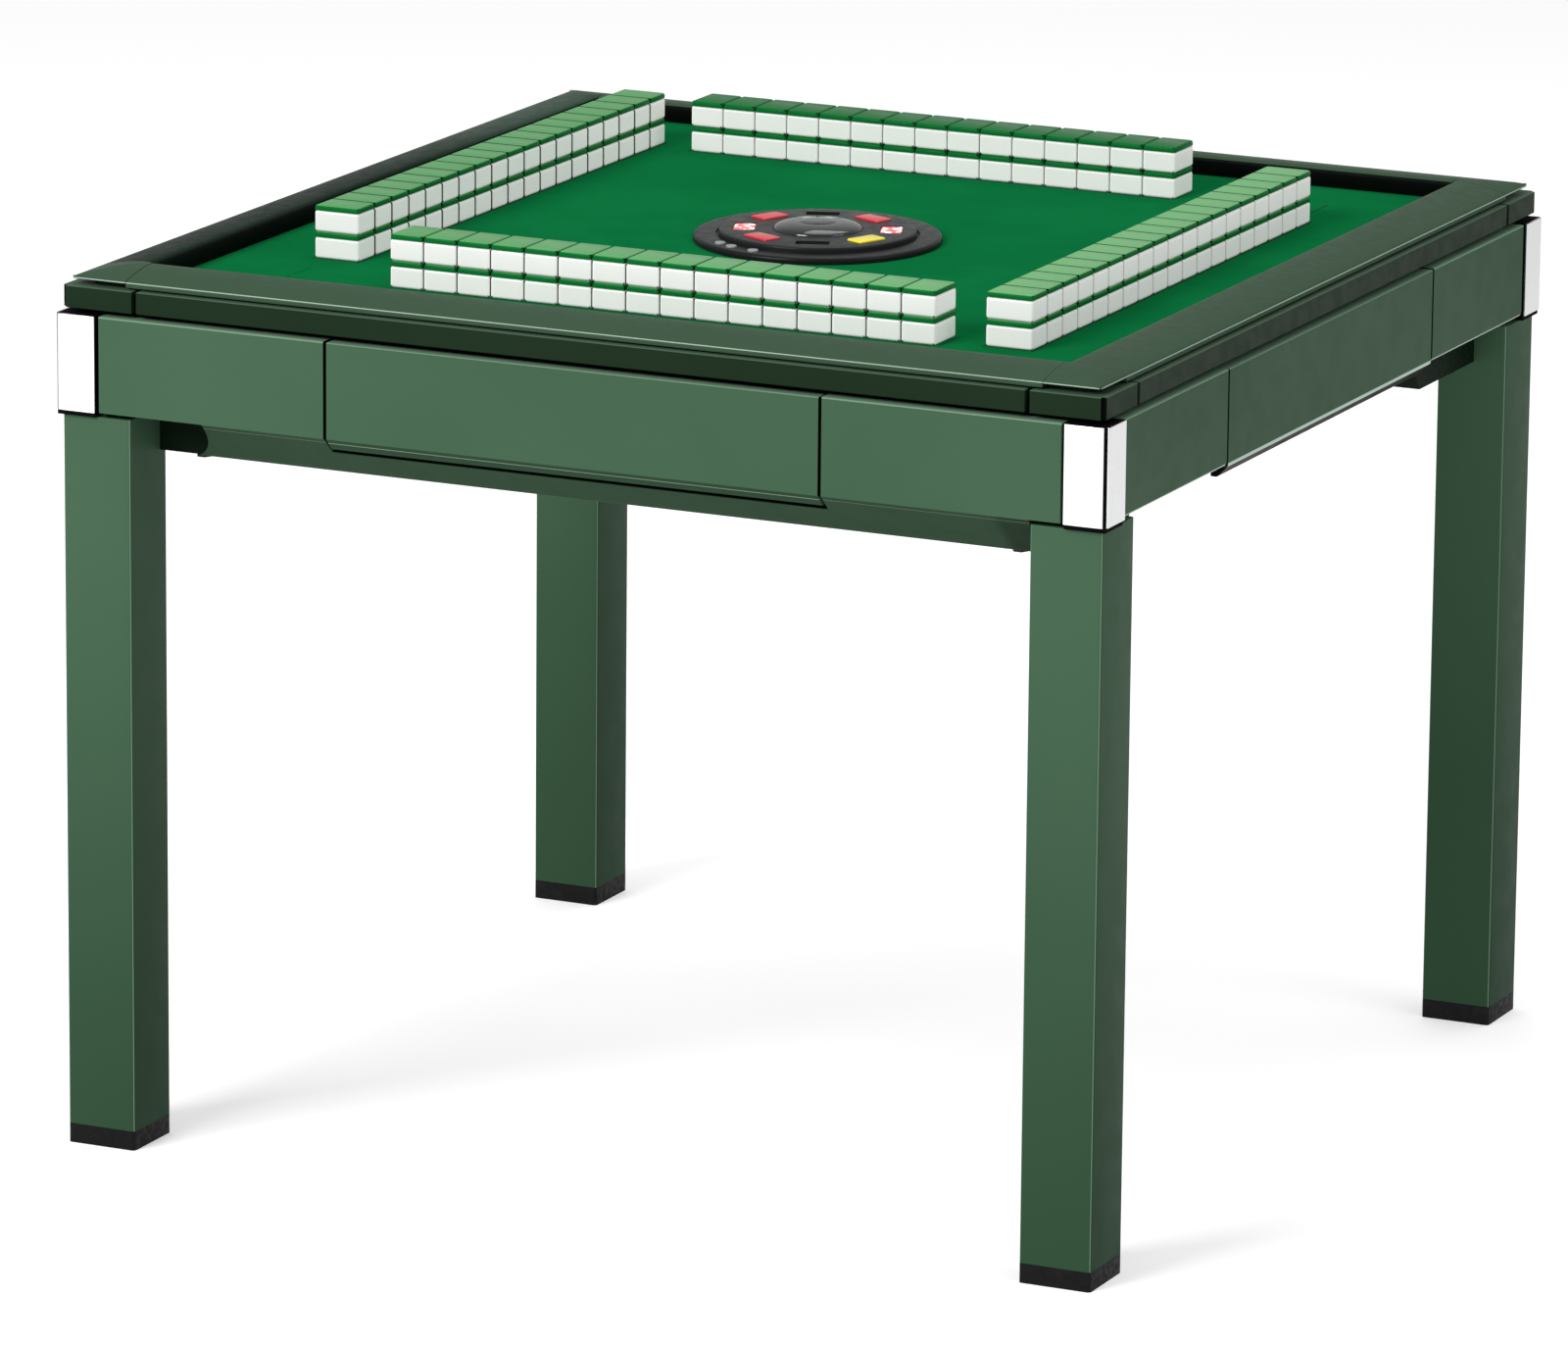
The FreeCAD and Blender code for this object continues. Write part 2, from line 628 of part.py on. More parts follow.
def front_panel(quarter):
    """Two panels, the apron that joins them under the drawer and its sill, in one piece."""
    name = "fascia_%d" % quarter
    lean = S.apron_thick * S.apron_drop / S.apron_reach
    inner_low = S.panel_half - S.apron_reach - S.apron_thick
    profile = [(-S.panel_half, S.case_top), (-S.panel_half, S.case_bottom),
               (-S.panel_half + S.apron_reach, S.case_bottom - S.apron_drop),
               (-inner_low, S.case_bottom - S.apron_drop),
               (-panel_inner, S.case_bottom - S.apron_drop
                + (panel_inner - inner_low) * S.apron_drop / S.apron_reach),
               (-panel_inner, S.case_top)]
    sheet_part = padded(name + "_sheet", "YZ_Plane", profile, panel_end * 2)
    tools = [box(name + "_opening", (-opening, opening),
                 (-S.panel_half - S.cut_over, -S.panel_half + S.apron_reach + lean),
                 (apron_top, S.case_top + S.cut_over))]
    for hand in (1, -1):
        end = box("%s_end_%d" % (name, hand + 1),
                  (S.apron_arc_place, panel_end + S.cut_over) if hand > 0
                  else (-panel_end - S.cut_over, -S.apron_arc_place),
                  (-S.panel_half - S.cut_over, -inner_low + S.cut_over),
                  (S.case_bottom - S.apron_drop - S.cut_over, S.case_bottom))
        arc = doc.addObject("Part::Cylinder", "%s_arc_%d" % (name, hand + 1))
        bind(arc, "Radius", S.apron_arc)
        bind(arc, "Height", S.apron_reach + S.apron_thick + S.panel_thick)
        arc.Placement = FreeCAD.Placement(
            Vector(0, 0, 0), FreeCAD.Rotation(Vector(1, 0, 0), QUARTER))
        bind(arc, ".Placement.Base.x", S.apron_arc_place * hand)
        bind(arc, ".Placement.Base.y", -inner_low + S.cut_over)
        bind(arc, ".Placement.Base.z", S.case_bottom)
        room = S.apron_arc + S.cut_over
        under = box("%s_under_%d" % (name, hand + 1),
                    (S.apron_arc_place * hand - room, S.apron_arc_place * hand + room),
                    (-S.panel_half - S.panel_thick * 2, -inner_low + S.cut_over * 2),
                    (S.case_bottom - S.apron_drop - S.cut_over * 2, S.case_bottom))
        tools.append(end)
        tools.append(common("%s_arch_%d" % (name, hand + 1), arc, under))
    sill_front = -S.panel_half + S.sill_back
    sill = box(name + "_sill", (-opening, opening), (sill_front, sill_front + S.sill_thick),
               (S.board_low - S.sill_tall, S.board_low))
    return turned(fuse(name, [cut(name + "_cut", sheet_part, tools), sill]), quarter)


def side_panel(quarter, hand):
    """A plain panel beside a drawer of the left or right side."""
    name = "side_panel_%d_%s" % (quarter, "right" if hand > 0 else "left")
    span = (opening, panel_end) if hand > 0 else (-panel_end, -opening)
    plate = box(name + "_plate", span, (-S.panel_half, -panel_inner),
                (S.case_bottom, S.case_top))
    return turned(alone(name, plate), quarter)


def top_rail(quarter):
    """A rail over a drawer that ties two posts and carries the lid."""
    rail_y = -panel_inner + S.rail_back
    rail = box("rail_%d_bar" % quarter, (-S.post_half, S.post_half),
               (rail_y, rail_y + S.rail_deep), (S.rail_low, S.lid_low))
    return turned(alone("rail_%d" % quarter, rail), quarter)


keep(group("corner_posts", [post(quarter) for quarter in range(4)]), "corner_posts")
keep(group("corner_covers", [cover(*place) for place in corners_and_hands]), "corner_covers")
keep(group("front_back_panels", [front_panel(quarter) for quarter in (0, 2)]),
     "front_back_panels")
keep(group("side_panels", [side_panel(quarter, hand) for quarter in (1, 3) for hand in (1, -1)]),
     "side_panels")
keep(group("top_rails", [top_rail(quarter) for quarter in range(4)]), "top_rails")

lift_y = -S.lift_middle
bush_places = [-S.lift_shift - S.stem_spread, -S.lift_shift + S.stem_spread]
roller_place = (S.dish_radius + S.roller_gap + S.roller_radius) / math.sqrt(2)


def base_board():
    """The board that carries the mechanism and the drawers."""
    slab = box("board_slab", (-panel_inner, panel_inner), (-panel_inner, panel_inner),
               (S.board_low, S.board_high))
    through = (S.board_low - S.cut_over, S.board_high + S.cut_over)
    tools = [cylinder("board_sleeve_hole", 0, 0, through, S.sleeve_radius + S.board_hole_gap),
             cylinder("board_shaft_hole", roller_place, -roller_place, through,
                      S.shaft_radius + S.board_hole_gap)]
    leg_x = S.leg_inner
    for quarter in range(4):
        bolt_y = bracket_sizes(quarter, 1)[-1]
        holes = [box("board_corner_%d" % quarter, (S.post_half, S.panel_half),
                     (-S.panel_half, -S.post_half), through),
                 box("board_notch_%d" % quarter, (-opening - S.notch_gap, opening + S.notch_gap),
                     (-S.panel_half, -S.panel_half + S.lip_reach + S.lip_thick + S.notch_gap),
                     through),
                 cylinder("board_actuator_%d" % quarter, -S.lift_shift, lift_y, through,
                          S.actuator_radius + S.board_hole_gap)]
        for number, place in enumerate(bush_places):
            holes.append(cylinder("board_bush_%d_%d" % (quarter, number), place, lift_y,
                                  through, S.bush_radius + S.board_hole_gap))
        for hand in (1, -1):
            holes.append(cylinder("board_bolt_%d_%d" % (quarter, hand + 1),
                                  (leg_x - S.bolt_place) * hand, bolt_y, through,
                                  S.bolt_radius + S.bolt_gap))
        tools.append(turned(fuse("board_holes_%d" % quarter, holes), quarter))
    return cut("base_board", slab, tools)


keep(base_board(), "base_board")


# ---------------------------------------------------------------- drawers
def runner(quarter, hand):
    """A grooved runner on the base board for the rib of a drawer tray."""
    name = "runner_%d_%s" % (quarter, "right" if hand > 0 else "left")
    near = S.tray_half + S.runner_gap
    back_y = -panel_inner + S.runner_back
    profile = [(near, S.board_high), (near + S.runner_thick, S.board_high),
               (near + S.runner_thick, S.runner_high), (near, S.runner_high),
               (near, S.rib_low + S.rib_thick + S.runner_gap),
               (near + S.rib_out, S.rib_low + S.rib_thick + S.runner_gap),
               (near + S.rib_out, S.rib_low - S.runner_gap),
               (near, S.rib_low - S.runner_gap)]
    profile = [(across * hand, up) for across, up in profile]
    length = S.tray_depth - S.runner_back
    body = padded(name, "XZ_Plane", profile, length)
    bind(body, ".Placement.Base.y", back_y + length / 2)
    return turned(alone(name + "_whole", body), quarter)


def drawer_face(quarter):
    """The painted drawer front with a finger lip under its lower edge."""
    top = S.case_top - S.drawer_top_gap
    profile = [(-S.panel_half, top), (-S.panel_half, S.case_bottom),
               (-S.panel_half + S.lip_reach, S.case_bottom - S.lip_drop),
               (-S.panel_half + S.lip_reach + S.lip_thick, S.case_bottom - S.lip_drop),
               (-panel_inner, S.case_bottom + S.lip_thick), (-panel_inner, top)]
    return turned(padded("drawer_face_" + SIDE_NAMES[quarter] + "_body", "YZ_Plane",
                         profile, S.drawer_half * 2), quarter)


def drawer_tray(quarter):
    """An open tray with dividers and a rib along each side."""
    name = "tray_%d" % quarter
    back = -panel_inner + S.tray_depth
    block = box(name + "_block", (-S.tray_half, S.tray_half), (-panel_inner, back),
                (S.tray_low, S.tray_high))
    inside = box(name + "_inside", (-S.tray_half + S.tray_wall, S.tray_half - S.tray_wall),
                 (-panel_inner + S.tray_wall, back - S.tray_wall),
                 (S.tray_low + S.tray_wall, S.tray_high + S.cut_over))
    pieces = [cut(name + "_shell", block, [inside])]
    room = (S.tray_half - S.tray_wall) * 2 / (DIVIDERS + 1)
    for number in range(1, DIVIDERS + 1):
        middle = -S.tray_half + S.tray_wall + room * number
        pieces.append(box("%s_divider_%d" % (name, number),
                          (middle - S.divider_thick / 2, middle + S.divider_thick / 2),
                          (-panel_inner + S.tray_wall, back - S.tray_wall),
                          (S.tray_low + S.tray_wall, S.tray_high - S.divider_drop)))
    pieces.append(box(name + "_rib_left", (-S.tray_half - S.rib_out + S.runner_gap, -S.tray_half),
                      (-panel_inner + S.runner_back, back), (S.rib_low, S.rib_low + S.rib_thick)))
    pieces.append(box(name + "_rib_right", (S.tray_half, S.tray_half + S.rib_out - S.runner_gap),
                      (-panel_inner + S.runner_back, back), (S.rib_low, S.rib_low + S.rib_thick)))
    return turned(fuse(name, pieces), quarter)


keep(group("drawer_runners", [runner(*place) for place in corners_and_hands]), "drawer_runners")
for quarter, side in enumerate(SIDE_NAMES):
    keep(drawer_face(quarter), "drawer_face_" + side)
    keep(drawer_tray(quarter), "drawer_tray_" + side)


# ---------------------------------------------------------------- lid
board_half = S.strip_face - S.strip_thick
strip_end = S.strip_face - S.block_long - S.block_gap


def lid_strip(quarter):
    """The dark band along one side of the lid."""
    bar = box("strip_%d_bar" % quarter, (-strip_end, strip_end), (-S.strip_face, -board_half),
              (S.strip_low, S.strip_high))
    return turned(alone("strip_%d" % quarter, bar), quarter)


def lid_block(quarter):
    """The lid's corner block, an angle with a groove down its outer edge."""
    near = S.strip_face - S.block_long
    square = box("block_square_%d" % quarter, (near, S.strip_face), (-S.strip_face, -near),
                 (S.strip_low, S.strip_high))
    through = (S.strip_low - S.cut_over, S.strip_high + S.cut_over)
    inside = box("block_inside_%d" % quarter, (near - S.cut_over, board_half),
                 (-board_half, -near + S.cut_over), through)
    groove = box("block_groove_%d" % quarter,
                 (S.strip_face - S.corner_groove, S.strip_face + S.cut_over),
                 (-S.strip_face - S.cut_over, -S.strip_face + S.corner_groove), through)
    return turned(cut("block_%d" % quarter, square, [inside, groove]), quarter)


def rim_profile(lower_edge):
    """Section of the rim: a soft crowned top that rises to its inner edge."""
    rise = S.rim_top - S.rim_edge
    wide = S.rim_half - S.opening_half
    return [(-S.opening_half, S.cloth_top), (-S.opening_half, S.rim_top - rise / 2),
            (-S.opening_half - wide * 0.08, S.rim_top),
            (-S.opening_half - wide * 0.35, S.rim_top - rise * 0.12),
            (-S.opening_half - wide * 0.7, S.rim_top - rise * 0.5),
            (-S.rim_half, S.rim_edge), (-S.rim_half, lower_edge),
            (-S.rim_seat, lower_edge), (-S.rim_seat, S.cloth_top)]


def rim_rail(quarter):
    """One side of the rim between its corner pieces."""
    return turned(padded("rim_rail_%d" % quarter, "YZ_Plane", rim_profile(S.rim_low),
                         (S.opening_half - S.rim_joint) * 2), quarter)


def rim_corner(quarter):
    """A mitred corner of the rim with a rounded outer edge."""
    across = padded("rim_across_%d" % quarter, "YZ_Plane", rim_profile(S.rim_corner_low),
                    S.rim_half * 2)
    along = turned(padded("rim_along_%d" % quarter, "YZ_Plane",
                          rim_profile(S.rim_corner_low), S.rim_half * 2), 1)
    mitre = common("rim_mitre_%d" % quarter, across, along)
    whole = (S.cloth_top - S.cut_over, S.rim_top + S.cut_over)
    corner = box("rim_square_%d" % quarter, (S.opening_half, S.rim_half + S.cut_over),
                 (-S.rim_half - S.cut_over, -S.opening_half), whole)
    piece = common("rim_corner_raw_%d" % quarter, mitre, corner)
    middle = S.rim_half - S.rim_round
    outside = box("rim_tip_%d" % quarter, (middle, S.rim_half + S.cut_over),
                  (-S.rim_half - S.cut_over, -middle), whole)
    round_off = cylinder("rim_tip_round_%d" % quarter, middle, -middle,
                         (whole[0] - S.cut_over, whole[1] + S.cut_over), S.rim_round)
    tip = cut("rim_tip_cut_%d" % quarter, outside, [round_off])
    return turned(cut("rim_corner_%d" % quarter, piece, [tip]), quarter)


def lift_slot(name, quarter, heights):
    """The gap in the board or the cloth for one lift platform."""
    half = S.lift_long / 2 + S.slot_gap
    tool = box(name + "_gap", (-S.lift_shift - half, -S.lift_shift + half),
               (-S.lift_inner - S.lift_wide - S.slot_gap, -S.lift_inner + S.slot_gap), heights)
    return turned(alone(name, tool), quarter)


def top_sheet(label, half, heights):
    """A square board or cloth with four slots and the centre hole."""
    slab = box(label + "_slab", (-half, half), (-half, half), heights)
    through = (heights[0] - S.cut_over, heights[1] + S.cut_over)
    tools = [cylinder(label + "_hole", 0, 0, through, S.centre_hole)]
    tools += [lift_slot("%s_slot_%d" % (label, quarter), quarter, through)
              for quarter in range(4)]
    return cut(label, slab, tools)


keep(group("lid_strips", [lid_strip(quarter) for quarter in range(4)]), "lid_strips")
keep(group("lid_corner_blocks", [lid_block(quarter) for quarter in range(4)]),
     "lid_corner_blocks")
keep(group("rim_rails", [rim_rail(quarter) for quarter in range(4)]), "rim_rails")
keep(group("rim_corners", [rim_corner(quarter) for quarter in range(4)]), "rim_corners")
keep(top_sheet("play_board", board_half, (S.lid_low, S.cloth_low)), "play_board")
keep(top_sheet("play_cloth", board_half, (S.cloth_low, S.cloth_top)), "play_cloth")


# ---------------------------------------------------------------- wall lifts and tiles
def platform(quarter):
    """A lift platform with its three stems."""
    name = "platform_%d" % quarter
    half = S.lift_long / 2
    plate = box(name + "_plate", (-S.lift_shift - half, -S.lift_shift + half),
                (-S.lift_inner - S.lift_wide, -S.lift_inner),
                (S.cloth_top - S.lift_thick, S.cloth_top))
    stems = [cylinder("%s_stem_%d" % (name, number), place, lift_y,
                      (S.stem_low, S.cloth_top - S.lift_thick), S.stem_radius)
             for number, place in enumerate(bush_places + [-S.lift_shift])]
    return turned(fuse(name, [plate] + stems), quarter)


def bush(quarter, number):
    """A flanged guide bush for an outer stem."""
    name = "bush_%d_%d" % (quarter, number)
    place = bush_places[number]
    tube = cylinder(name + "_tube", place, lift_y, (S.bush_low, S.bush_high), S.bush_radius)
    flange = cylinder(name + "_flange", place, lift_y,
                      (S.board_high, S.board_high + S.flange_thick), S.bush_flange)
    bore = cylinder(name + "_bore", place, lift_y,
                    (S.bush_low - S.cut_over, S.bush_high + S.cut_over),
                    S.stem_radius + S.stem_gap)
    return turned(cut(name, fuse(name + "_whole", [tube, flange]), [bore]), quarter)


def actuator(quarter):
    """The motor driven lifting cylinder under a platform's middle stem."""
    name = "actuator_%d" % quarter
    tube = cylinder(name + "_tube", -S.lift_shift, lift_y, (S.actuator_low, S.bush_high),
                    S.actuator_radius)
    gearbox = box(name + "_gearbox", (-S.lift_shift, -S.lift_shift + S.gearbox_long),
                  (lift_y - S.actuator_radius, lift_y + S.actuator_radius),
                  (S.actuator_low, S.board_low))
    bore = cylinder(name + "_bore", -S.lift_shift, lift_y,
                    (S.actuator_low + S.actuator_wall, S.bush_high + S.cut_over),
                    S.stem_radius + S.stem_gap)
    return turned(cut(name, fuse(name + "_whole", [tube, gearbox]), [bore]), quarter)


keep(group("lift_bushes", [bush(quarter, number) for quarter in range(4) for number in (0, 1)]),
     "lift_bushes")
keep(group("lift_actuators", [actuator(quarter) for quarter in range(4)]), "lift_actuators")

tile_body = fillet("tile_body", box("tile_body_block", (-S.tile_wide / 2, S.tile_wide / 2),
                                    (-S.tile_long / 2, S.tile_long / 2), (0, S.tile_white)),
                   S.tile_round, upright)
tile_back = fillet("tile_back", box("tile_back_block", (-S.tile_wide / 2, S.tile_wide / 2),
                                    (-S.tile_long / 2, S.tile_long / 2),
                                    (S.tile_white, S.tile_white + S.tile_green)),
                   S.tile_round, upright)
doc.recompute()


def wall(label, quarter, source, stacks):
    """Two layers of tiles in a row, pushed to the end of their platform."""
    first = -S.lift_shift + S.lift_long / 2 - S.tile_end - S.tile_wide / 2
    turn = FreeCAD.Rotation(Vector(0, 0, 1), QUARTER * quarter)
    solids = []
    for stack in range(stacks):
        for layer in (0, 1):
            place = Vector(first - S.tile_pitch * stack, lift_y,
                           S.cloth_top + (S.tile_white + S.tile_green) * layer)
            copy = source.Shape.copy()
            copy.Placement = FreeCAD.Placement(turn.multVec(place), turn)
            solids.append(copy)
    return placed(label, Part.makeCompound(solids))


for quarter, side in enumerate(SIDE_NAMES):
    keep(platform(quarter), "lift_platform_" + side)
    stacks = int(S.wall_stacks - STACKS_TAKEN[side])
    keep(wall("tiles_" + side, quarter, tile_body, stacks), "tiles_" + side)
    keep(wall("tile_backs_" + side, quarter, tile_back, stacks), "tile_backs_" + side)


# ---------------------------------------------------------------- shuffling unit
keep(revolved("centre_sleeve", [
    (S.column_radius + S.running_gap, S.sleeve_low), (S.sleeve_radius, S.sleeve_low),
    (S.sleeve_radius, S.board_high),
    (S.sleeve_radius + S.sleeve_flange, S.board_high),
    (S.sleeve_radius + S.sleeve_flange, S.flange_top), (S.sleeve_radius, S.flange_top),
    (S.sleeve_radius, S.sleeve_high), (S.column_radius + S.running_gap, S.sleeve_high)]),
    "centre_sleeve")
keep(revolved("turntable", [
    (S.sleeve_radius + S.running_gap, S.flange_top + S.table_seat),
    (S.hub_radius, S.flange_top + S.table_seat), (S.hub_radius, S.dish_low),
    (S.dish_radius, S.dish_low), (S.dish_radius, S.dish_high),
    (S.dish_radius - S.dish_thick, S.dish_high),
    (S.dish_radius - S.dish_thick, S.dish_low + S.dish_thick),
    (S.hub_radius, S.dish_low + S.dish_thick), (S.hub_radius, S.dish_high),
    (S.sleeve_radius + S.running_gap, S.dish_high)]), "turntable")

wheel = cylinder("roller_wheel", roller_place, -roller_place,
                 (S.roller_low, S.roller_low + S.roller_tall), S.roller_radius)
shaft = cylinder("roller_shaft", roller_place, -roller_place, (S.shaft_low, S.roller_low),
                 S.shaft_radius)
keep(fuse("drive_roller", [wheel, shaft]), "drive_roller")
motor_can = cylinder("motor_can", roller_place, -roller_place, (S.motor_low, S.board_low),
                     S.motor_radius)
motor_bore = cylinder("motor_bore", roller_place, -roller_place,
                      (S.shaft_low - S.cut_over, S.board_low + S.cut_over),
                      S.shaft_radius + S.running_gap)
keep(cut("turntable_motor", motor_can, [motor_bore]), "turntable_motor")


# ---------------------------------------------------------------- centre unit
keep(revolved("centre_column", [
    (S.column_bore, S.column_low), (S.column_radius, S.column_low),
    (S.column_radius, S.unit_low), (S.column_bore, S.unit_low),
    (S.column_bore, S.dice_floor), (0, S.dice_floor),
    (0, S.dice_floor - S.dice_plate), (S.column_bore, S.dice_floor - S.dice_plate)]),
    "centre_column")


def round_place(radius, degrees):
    """The x and y of a point on the centre unit, as sizes."""
    angle = (S.layout_turn + degrees) * 1.0
    return (Size(float(radius) * math.cos(math.radians(angle)),
                 "(%s * cos(%s * 1deg))" % (text_of(radius), text_of(angle))),
            Size(float(radius) * math.sin(math.radians(angle)),
                 "(%s * sin(%s * 1deg))" % (text_of(radius), text_of(angle))))


def disc_block(name, degrees, size_round, size_across, heights):
    """A block on the raised disc, turned to face the centre."""
    block = box(name + "_block", (S.pad_place - size_across / 2, S.pad_place + size_across / 2),
                (-size_round / 2, size_round / 2), heights)
    made = alone(name, fillet(name + "_rounded", block, S.pad_corner, upright))
    made.Placement = FreeCAD.Placement(
        Vector(0, 0, 0), FreeCAD.Rotation(Vector(0, 0, 1), float(S.layout_turn) + degrees))
    return made


PADS = {"pad_north_east": 45, "pad_north_west": 135, "pad_south_west": 225,
        "pad_south_east": 315}
WINDOWS = {"east": 0, "west": 180}
PLAIN_SLOTS = {"north": 90, "south": 270}
KEY_ANGLES = [-146, -136, -121]

base_ring = revolved("centre_base_ring", [
    (S.column_bore, S.unit_low), (S.unit_radius, S.unit_low),
    (S.unit_radius, S.unit_high - S.unit_bevel), (S.unit_radius - S.unit_bevel, S.unit_high),
    (S.groove_radius + S.groove_wide, S.unit_high),
    (S.groove_radius + S.groove_wide, S.unit_high - S.groove_wide),
    (S.groove_radius, S.unit_high - S.groove_wide), (S.groove_radius, S.unit_high),
    (S.column_bore, S.unit_high)])
wells = [cylinder("key_well_%d" % number, *round_place(S.key_place, degrees),
                  (S.key_floor, S.unit_high + S.cut_over), S.key_radius + S.pad_gap)
         for number, degrees in enumerate(KEY_ANGLES)]
keep(cut("centre_base", base_ring, wells), "centre_base")

disc_ring = revolved("centre_disc_ring", [
    (S.dome_radius + S.dome_gap, S.unit_high), (S.groove_radius - S.disc_gap, S.unit_high),
    (S.groove_radius - S.disc_gap, S.disc_high - S.groove_wide),
    (S.groove_radius - S.disc_gap - S.groove_wide, S.disc_high),
    (S.dome_radius + S.dome_gap, S.disc_high)])
through_disc = (S.unit_high - S.cut_over, S.disc_high + S.cut_over)
pockets = [disc_block("pocket_" + name, degrees, S.pad_long + S.pad_gap * 2,
                      S.pad_deep + S.pad_gap * 2, through_disc)
           for name, degrees in list(PADS.items()) + list(WINDOWS.items())]
pockets += [disc_block("slot_" + name, degrees, S.pad_long, S.slot_deep, through_disc)
            for name, degrees in PLAIN_SLOTS.items()]
keep(cut("centre_disc", disc_ring, pockets), "centre_disc")
for name, degrees in PADS.items():
    keep(disc_block(name, degrees, S.pad_long, S.pad_deep, (S.pad_low, S.pad_high)), name)
keep(group("lit_windows", [
    disc_block("window_" + name, degrees, S.pad_long, S.pad_deep,
               (S.unit_high, S.disc_high - S.pad_gap))
    for name, degrees in WINDOWS.items()]), "lit_windows")
for number, degrees in enumerate(KEY_ANGLES):
    keep(cylinder("round_key_%d" % (number + 1), *round_place(S.key_place, degrees),
                  (S.key_low, S.key_high), S.key_radius), "round_key_%d" % (number + 1))

inner_radius = S.dome_radius - S.dome_wall
inner_rise = S.dome_rise - S.dome_wall
keep(revolved("dice_dome", [
    (S.dome_radius, S.unit_high), (S.dome_radius, S.disc_high),
    (S.dome_radius * 0.8, S.disc_high + S.dome_rise * 0.5),
    (S.dome_radius * 0.45, S.disc_high + S.dome_rise * 0.87), (0, S.dome_high),
    (0, S.dome_high - S.dome_wall), (inner_radius * 0.45, S.disc_high + inner_rise * 0.87),
    (inner_radius * 0.8, S.disc_high + inner_rise * 0.5), (inner_radius, S.disc_high),
    (inner_radius, S.unit_high)]), "dice_dome")
dice_half = S.dice_side / 2
keep(group("dice", [
    fillet("die_%d" % number,
           box("die_block_%d" % number, span, (-dice_half, dice_half),
               (S.dice_floor, S.dice_floor + S.dice_side)), S.dice_side / 10,
           lambda middle, run: True)
    for number, span in enumerate([(S.dice_apart / 2, S.dice_apart / 2 + S.dice_side),
                                   (-S.dice_apart / 2 - S.dice_side, -S.dice_apart / 2)])]),
    "dice")


# ---------------------------------------------------------------- electrics
case_block = box("control_block", (-S.box_half, S.box_half), (S.box_near, S.box_far),
                 (S.box_low, S.board_low))
inlet_x = (S.inlet_place - S.inlet_wide / 2, S.inlet_place + S.inlet_wide / 2)
inlet_z = (S.switch_level - S.inlet_tall / 2, S.switch_level + S.inlet_tall / 2)
inlet_y = (S.box_far + S.inlet_proud - S.inlet_deep, S.box_far + S.inlet_proud)
inlet_pocket = box("inlet_pocket", (inlet_x[0] - S.fit_gap, inlet_x[1] + S.fit_gap),
                   (inlet_y[0], S.box_far + S.cut_over),
                   (inlet_z[0] - S.fit_gap, inlet_z[1] + S.fit_gap))
axis_y = S.box_far - S.switch_back / 2
half_wide = S.switch_wide / 2
switch_pocket = box("switch_pocket",
                    (S.switch_place - half_wide - S.fit_gap, S.switch_place + half_wide + S.fit_gap),
                    (axis_y - S.switch_back - S.switch_gap * 2, S.box_far + S.cut_over),
                    (S.switch_level - S.switch_tall / 2 - S.switch_gap,
                     S.switch_level + S.switch_tall / 2 + S.switch_gap))


def switch_pin(name, radius, over):
    """A level pin through the rocker along X."""
    half = S.switch_wide / 2 + over
    made = doc.addObject("Part::Cylinder", name)
    bind(made, "Radius", radius)
    bind(made, "Height", half * 2)
    made.Placement = FreeCAD.Placement(
        Vector(0, 0, 0), FreeCAD.Rotation(Vector(0, 1, 0), QUARTER))
    bind(made, ".Placement.Base.x", S.switch_place - half)
    bind(made, ".Placement.Base.y", axis_y)
    bind(made, ".Placement.Base.z", S.switch_level)
    return made


pin_bore = switch_pin("pin_bore", S.switch_pin + S.running_gap,
                      S.switch_pin_long + S.fit_gap * 2)
keep(cut("control_box", case_block, [inlet_pocket, switch_pocket, pin_bore]), "control_box")
inlet_block = box("inlet_block", inlet_x, inlet_y, inlet_z)
inlet_socket = box("inlet_socket", (inlet_x[0] + S.inlet_wall, inlet_x[1] - S.inlet_wall),
                   (inlet_y[0] + S.inlet_wall, inlet_y[1] + S.cut_over),
                   (inlet_z[0] + S.inlet_wall, inlet_z[1] - S.inlet_wall))
keep(cut("power_inlet", inlet_block, [inlet_socket]), "power_inlet")
rocker = box("rocker_block", (S.switch_place - half_wide, S.switch_place + half_wide),
             (axis_y - S.switch_back, axis_y + S.switch_front),
             (S.switch_level - S.switch_tall / 2, S.switch_level + S.switch_tall / 2))
keep(fuse("rocker_switch", [rocker, switch_pin("rocker_pin", S.switch_pin, S.switch_pin_long)]),
     "rocker_switch")


# ---------------------------------------------------------------- check and write
doc.recompute()
faults = [item.Name for item in doc.Objects
          if "Invalid" in item.State or "Error" in item.State]
faults += [node.Label for node in nodes if node.Shape.isNull() or not node.Shape.isValid()]
if faults:
    raise RuntimeError("these pieces did not build: " + ", ".join(sorted(set(faults))))
os.makedirs("parts", exist_ok=True)
for node in nodes:
    node.Shape.exportStep("parts/%s.step" % node.Label)
print("%d nodes, %d solids" % (len(nodes), sum(len(node.Shape.Solids) for node in nodes)))
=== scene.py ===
import math

import bmesh
import bpy
from mathutils import Matrix, Vector


